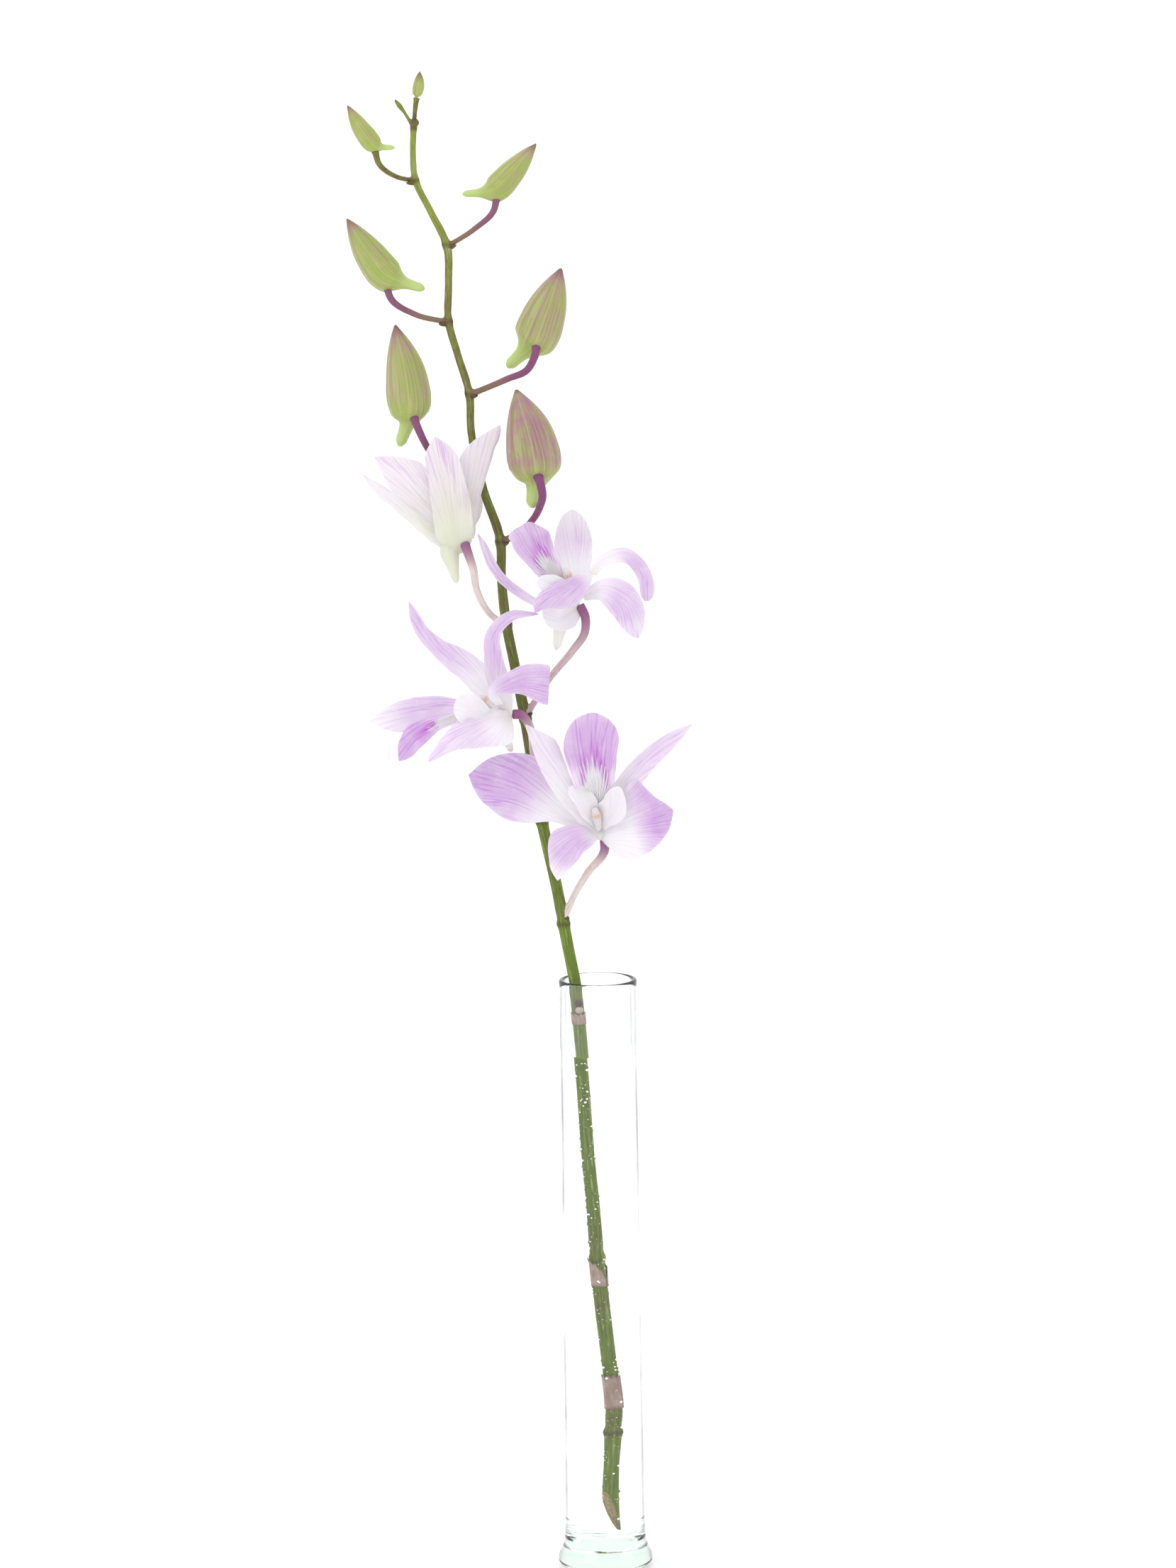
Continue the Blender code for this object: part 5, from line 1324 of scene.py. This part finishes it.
class ORCHID_OT_vase(bpy.types.Operator):
    """Make the glass tube on its thick foot"""

    bl_idname = "orchid.vase"
    bl_label = "Make vase"

    def execute(self, context):
        height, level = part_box("vase")[1][2] / MM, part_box("water")[1][2] / MM
        rise = np.linspace(WALL_FOOT, height - 5.0, 56)
        wall = [*zip(WALL_RADIUS - WALL_LOSS * (rise - WALL_FOOT) / WALL_SPAN, rise), (11.78, height - 3.0)]
        rim = arc(11.2, height - 0.78, 0.76, 8.0, 172.0, 13)
        bore = [(10.42, height - 3.0), (10.47, level + WET), (10.5, 150.0), (10.68, 90.0), (10.8, 40.0)]
        corner = arc(10.85 - FLOOR_CORNER, WALL_FOOT, FLOOR_CORNER, 0.0, -90.0, 12)
        middle = [(3.0, GLASS_FLOOR + 0.01), (0.0, GLASS_FLOOR)]
        points, faces = turned(GLASS_FOOT + wall + rim + bore + corner + middle, 144)
        outside = np.hypot(points[:, 0], points[:, 1]) > 11.3
        share = smooth_step(WALL_FOOT, 30.0, points[:, 2])
        share = share * (1 - smooth_step(height - 16.0, height - 4.0, points[:, 2]))
        for k in np.flatnonzero(outside & (share > 0)):
            uneven = noise.noise(Vector((points[k, 0] * 0.09, points[k, 1] * 0.09, points[k, 2] * 0.035)))
            points[k, :2] *= 1 + 0.010 * uneven * share[k]
        parts = Parts()
        parts.add(points, faces, points / 10, (0.0, 0.0, 0.0))
        tint = context.scene.orchid.glass_tint
        made = parts.piece("glass_vase", clear_finish("Clear glass", GLASS_IOR, tint, 0.02), "glass", "vase")
        made.data.materials.append(clear_finish("Glass against water", GLASS_IOR / WATER_IOR))
        for face in made.data.polygons:
            inside = math.hypot(face.center.x, face.center.y) < 10.95 * MM and face.center.z > 10.9 * MM
            face.material_index = int(inside and face.center.z < (level + WET) * MM)
        return {"FINISHED"}


class ORCHID_OT_water(bpy.types.Operator):
    """Make the water with its curved edge, and the air bubbles in it"""

    bl_idname = "orchid.water"
    bl_label = "Make water"

    def execute(self, context):
        settings = context.scene.orchid
        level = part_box("water")[1][2] / MM
        corner = arc(10.9 - FLOOR_CORNER, 13.95, FLOOR_CORNER, -90.0, 0.0, 12)
        wall = [(10.86, 40.0), (10.74, 90.0), (10.56, 150.0), (10.535, level + 0.7), (10.53, level + 1.05)]
        top = [(10.40, level + 1.0), (10.1, level + 0.55), (9.6, level + 0.22), (9.0, level + 0.06)]
        top += [(r, level) for r in (8.2, 7.2, 6.2, 5.2, 4.2, 3.2, 2.2, 1.2)]
        points, faces = turned([(0.0, 10.93), (3.0, 10.94)] + corner + wall + top + [(0.0, level)], 96)
        centre, radius = stalk_at(np.array([level]))
        away = np.hypot(points[:, 0] - centre[0, 0], points[:, 1] - centre[0, 1]) - radius[0]
        climbs = (points[:, 2] > level - 0.01) & (np.hypot(points[:, 0], points[:, 1]) < 10.3)
        points[climbs, 2] += 0.8 * np.exp(-np.clip(away[climbs], 0, None) / 0.7)
        parts = Parts()
        parts.add(points, faces, points / 10, (0.0, 0.0, 0.0))
        made = parts.piece("still_water", clear_finish("Still water", WATER_IOR), "water", "water")
        made.data.materials.append(clear_finish("Water against glass", 1.0))
        for face in made.data.polygons:
            face.material_index = int(face.center.z < level or face.normal.z < 0.2)
        self.bubbles(settings, level).piece("air_bubbles", bubble_finish(), "water")
        return {"FINISHED"}

    def bubbles(self, settings, level):
        """Round air bubbles on the stalk under water, more of them near the surface."""
        draw = np.random.default_rng(settings.seed)
        parts = Parts()
        for _ in range(settings.bubble_count):
            height = level - 1.0 - (level - 16.0) * draw.random() ** 1.25
            path, radii = stalk_at(np.array([height]))
            angle = draw.random() * 2 * math.pi
            size = 0.12 + 0.34 * draw.random() ** 4
            out = np.array([math.cos(angle), math.sin(angle), 0.0])
            centre = path[0] + out * (radii[0] + size * 0.7)
            place_along = np.linspace(-0.96, 0.96, 7)
            line = centre + np.outer(place_along * size, (0.0, 0.0, 1.0))
            ball = Tube(line, size * np.sqrt(1 - place_along**2), 8)
            parts.add(ball.points, ball.faces(), ball.points / 10, (0.0, 0.0, 0.0))
        return parts


class ORCHID_OT_stage(bpy.types.Operator):
    """Make the floor, the lights, the background and the camera"""

    bl_idname = "orchid.stage"
    bl_label = "Make stage"

    def execute(self, context):
        settings = context.scene.orchid
        self.floor(settings)
        self.background(context.scene)
        for softbox in SOFTBOXES:
            self.light(*softbox)
        self.sky_light(context.scene)
        self.camera(context.scene)
        context.scene.view_settings.view_transform = "Standard"
        return {"FINISHED"}

    def floor(self, settings):
        """A wide plain floor with a little thickness."""
        side = settings.floor_size
        mesh = bpy.data.meshes.new("studio_floor")
        shell = bmesh.new()
        bmesh.ops.create_cube(shell, size=1.0, matrix=Matrix.Translation((0.0, 0.0, FLOOR_MIDDLE))
                              @ Matrix.Diagonal((side, side, FLOOR_THICK, 1.0)))
        shell.to_mesh(mesh)
        shell.free()
        mesh.materials.append(floor_finish())
        made = bpy.data.objects.new("studio_floor", mesh)
        bpy.context.scene.collection.objects.link(made)

    def background(self, scene):
        """A white studio, a little dimmer on the camera's side."""
        world = bpy.data.worlds.new("Studio")
        world.use_nodes = True
        scene.world = world
        tree = world.node_tree
        where = place(tree, "ShaderNodeTexCoord")
        split = place(tree, "ShaderNodeSeparateXYZ", {0: where.outputs["Generated"]})
        share = place(tree, "ShaderNodeMapRange", {"Value": split.outputs["Y"], "From Min": -0.9,
                                                   "From Max": 0.5, "To Min": 0.68, "To Max": 1.05})
        tree.links.new(share.outputs[0], tree.nodes["Background"].inputs["Strength"])
        tree.nodes["Background"].inputs["Color"].default_value = (1.0, 1.0, 1.0, 1.0)

    def light(self, name, place_at, look_at, size, power):
        """A square soft light aimed at a point."""
        lamp = bpy.data.lights.new(name, "AREA")
        lamp.size = size
        lamp.energy = power
        made = bpy.data.objects.new(name, lamp)
        made.location = place_at
        made.rotation_euler = (Vector(look_at) - Vector(place_at)).to_track_quat("-Z", "Y").to_euler()
        bpy.context.scene.collection.objects.link(made)

    def sky_light(self, scene):
        """A broad overhead light, so that the whole floor is lit alike."""
        lamp = bpy.data.lights.new("overhead_light", "SUN")
        lamp.angle = math.radians(70.0)
        lamp.energy = 0.9
        made = bpy.data.objects.new("overhead_light", lamp)
        made.rotation_euler = (math.radians(18.0), math.radians(-14.0), 0.0)
        scene.collection.objects.link(made)

    def camera(self, scene):
        """The camera, a little above and in front, with a long lens."""
        lens = bpy.data.cameras.new("camera")
        lens.lens = CAMERA_LENS
        lens.sensor_width = 36.0
        lens.clip_end = 120.0
        made = bpy.data.objects.new("camera", lens)
        turn = Matrix.Rotation(math.radians(90.0 - CAMERA_PITCH), 4, "X")
        turn = turn @ Matrix.Rotation(math.radians(CAMERA_ROLL), 4, "Z")
        made.matrix_world = Matrix.Translation(Vector(CAMERA_PLACE) * MM) @ turn
        scene.collection.objects.link(made)
        scene.camera = made


class ORCHID_PT_panel(bpy.types.Panel):
    """Settings and steps for dressing the spray"""

    bl_idname = "ORCHID_PT_panel"
    bl_label = "Orchid spray"
    bl_space_type = "VIEW_3D"
    bl_region_type = "UI"
    bl_category = "Orchid"

    def draw(self, context):
        settings = context.scene.orchid
        column = self.layout.column()
        for name in OrchidSettings.__annotations__:
            column.prop(settings, name)
        for operator in OPERATORS:
            column.operator(operator.bl_idname)


OPERATORS = (ORCHID_OT_stage, ORCHID_OT_vase, ORCHID_OT_water, ORCHID_OT_stalk, ORCHID_OT_buds,
             ORCHID_OT_tepals, ORCHID_OT_lips, ORCHID_OT_columns)


def register():
    """Register the settings, the operators and the panel."""
    for kind in (OrchidSettings, *OPERATORS, ORCHID_PT_panel):
        bpy.utils.register_class(kind)
    bpy.types.Scene.orchid = bpy.props.PointerProperty(type=OrchidSettings)


def unregister():
    """Remove what register added."""
    del bpy.types.Scene.orchid
    for kind in reversed((OrchidSettings, *OPERATORS, ORCHID_PT_panel)):
        bpy.utils.unregister_class(kind)


def main():
    """Dress the model."""
    register()
    bpy.ops.orchid.stage()
    bpy.ops.orchid.vase()
    bpy.ops.orchid.water()
    bpy.ops.orchid.stalk()
    bpy.ops.orchid.buds()
    bpy.ops.orchid.tepals()
    bpy.ops.orchid.lips()
    bpy.ops.orchid.columns()


if __name__ == "__main__":
    main()
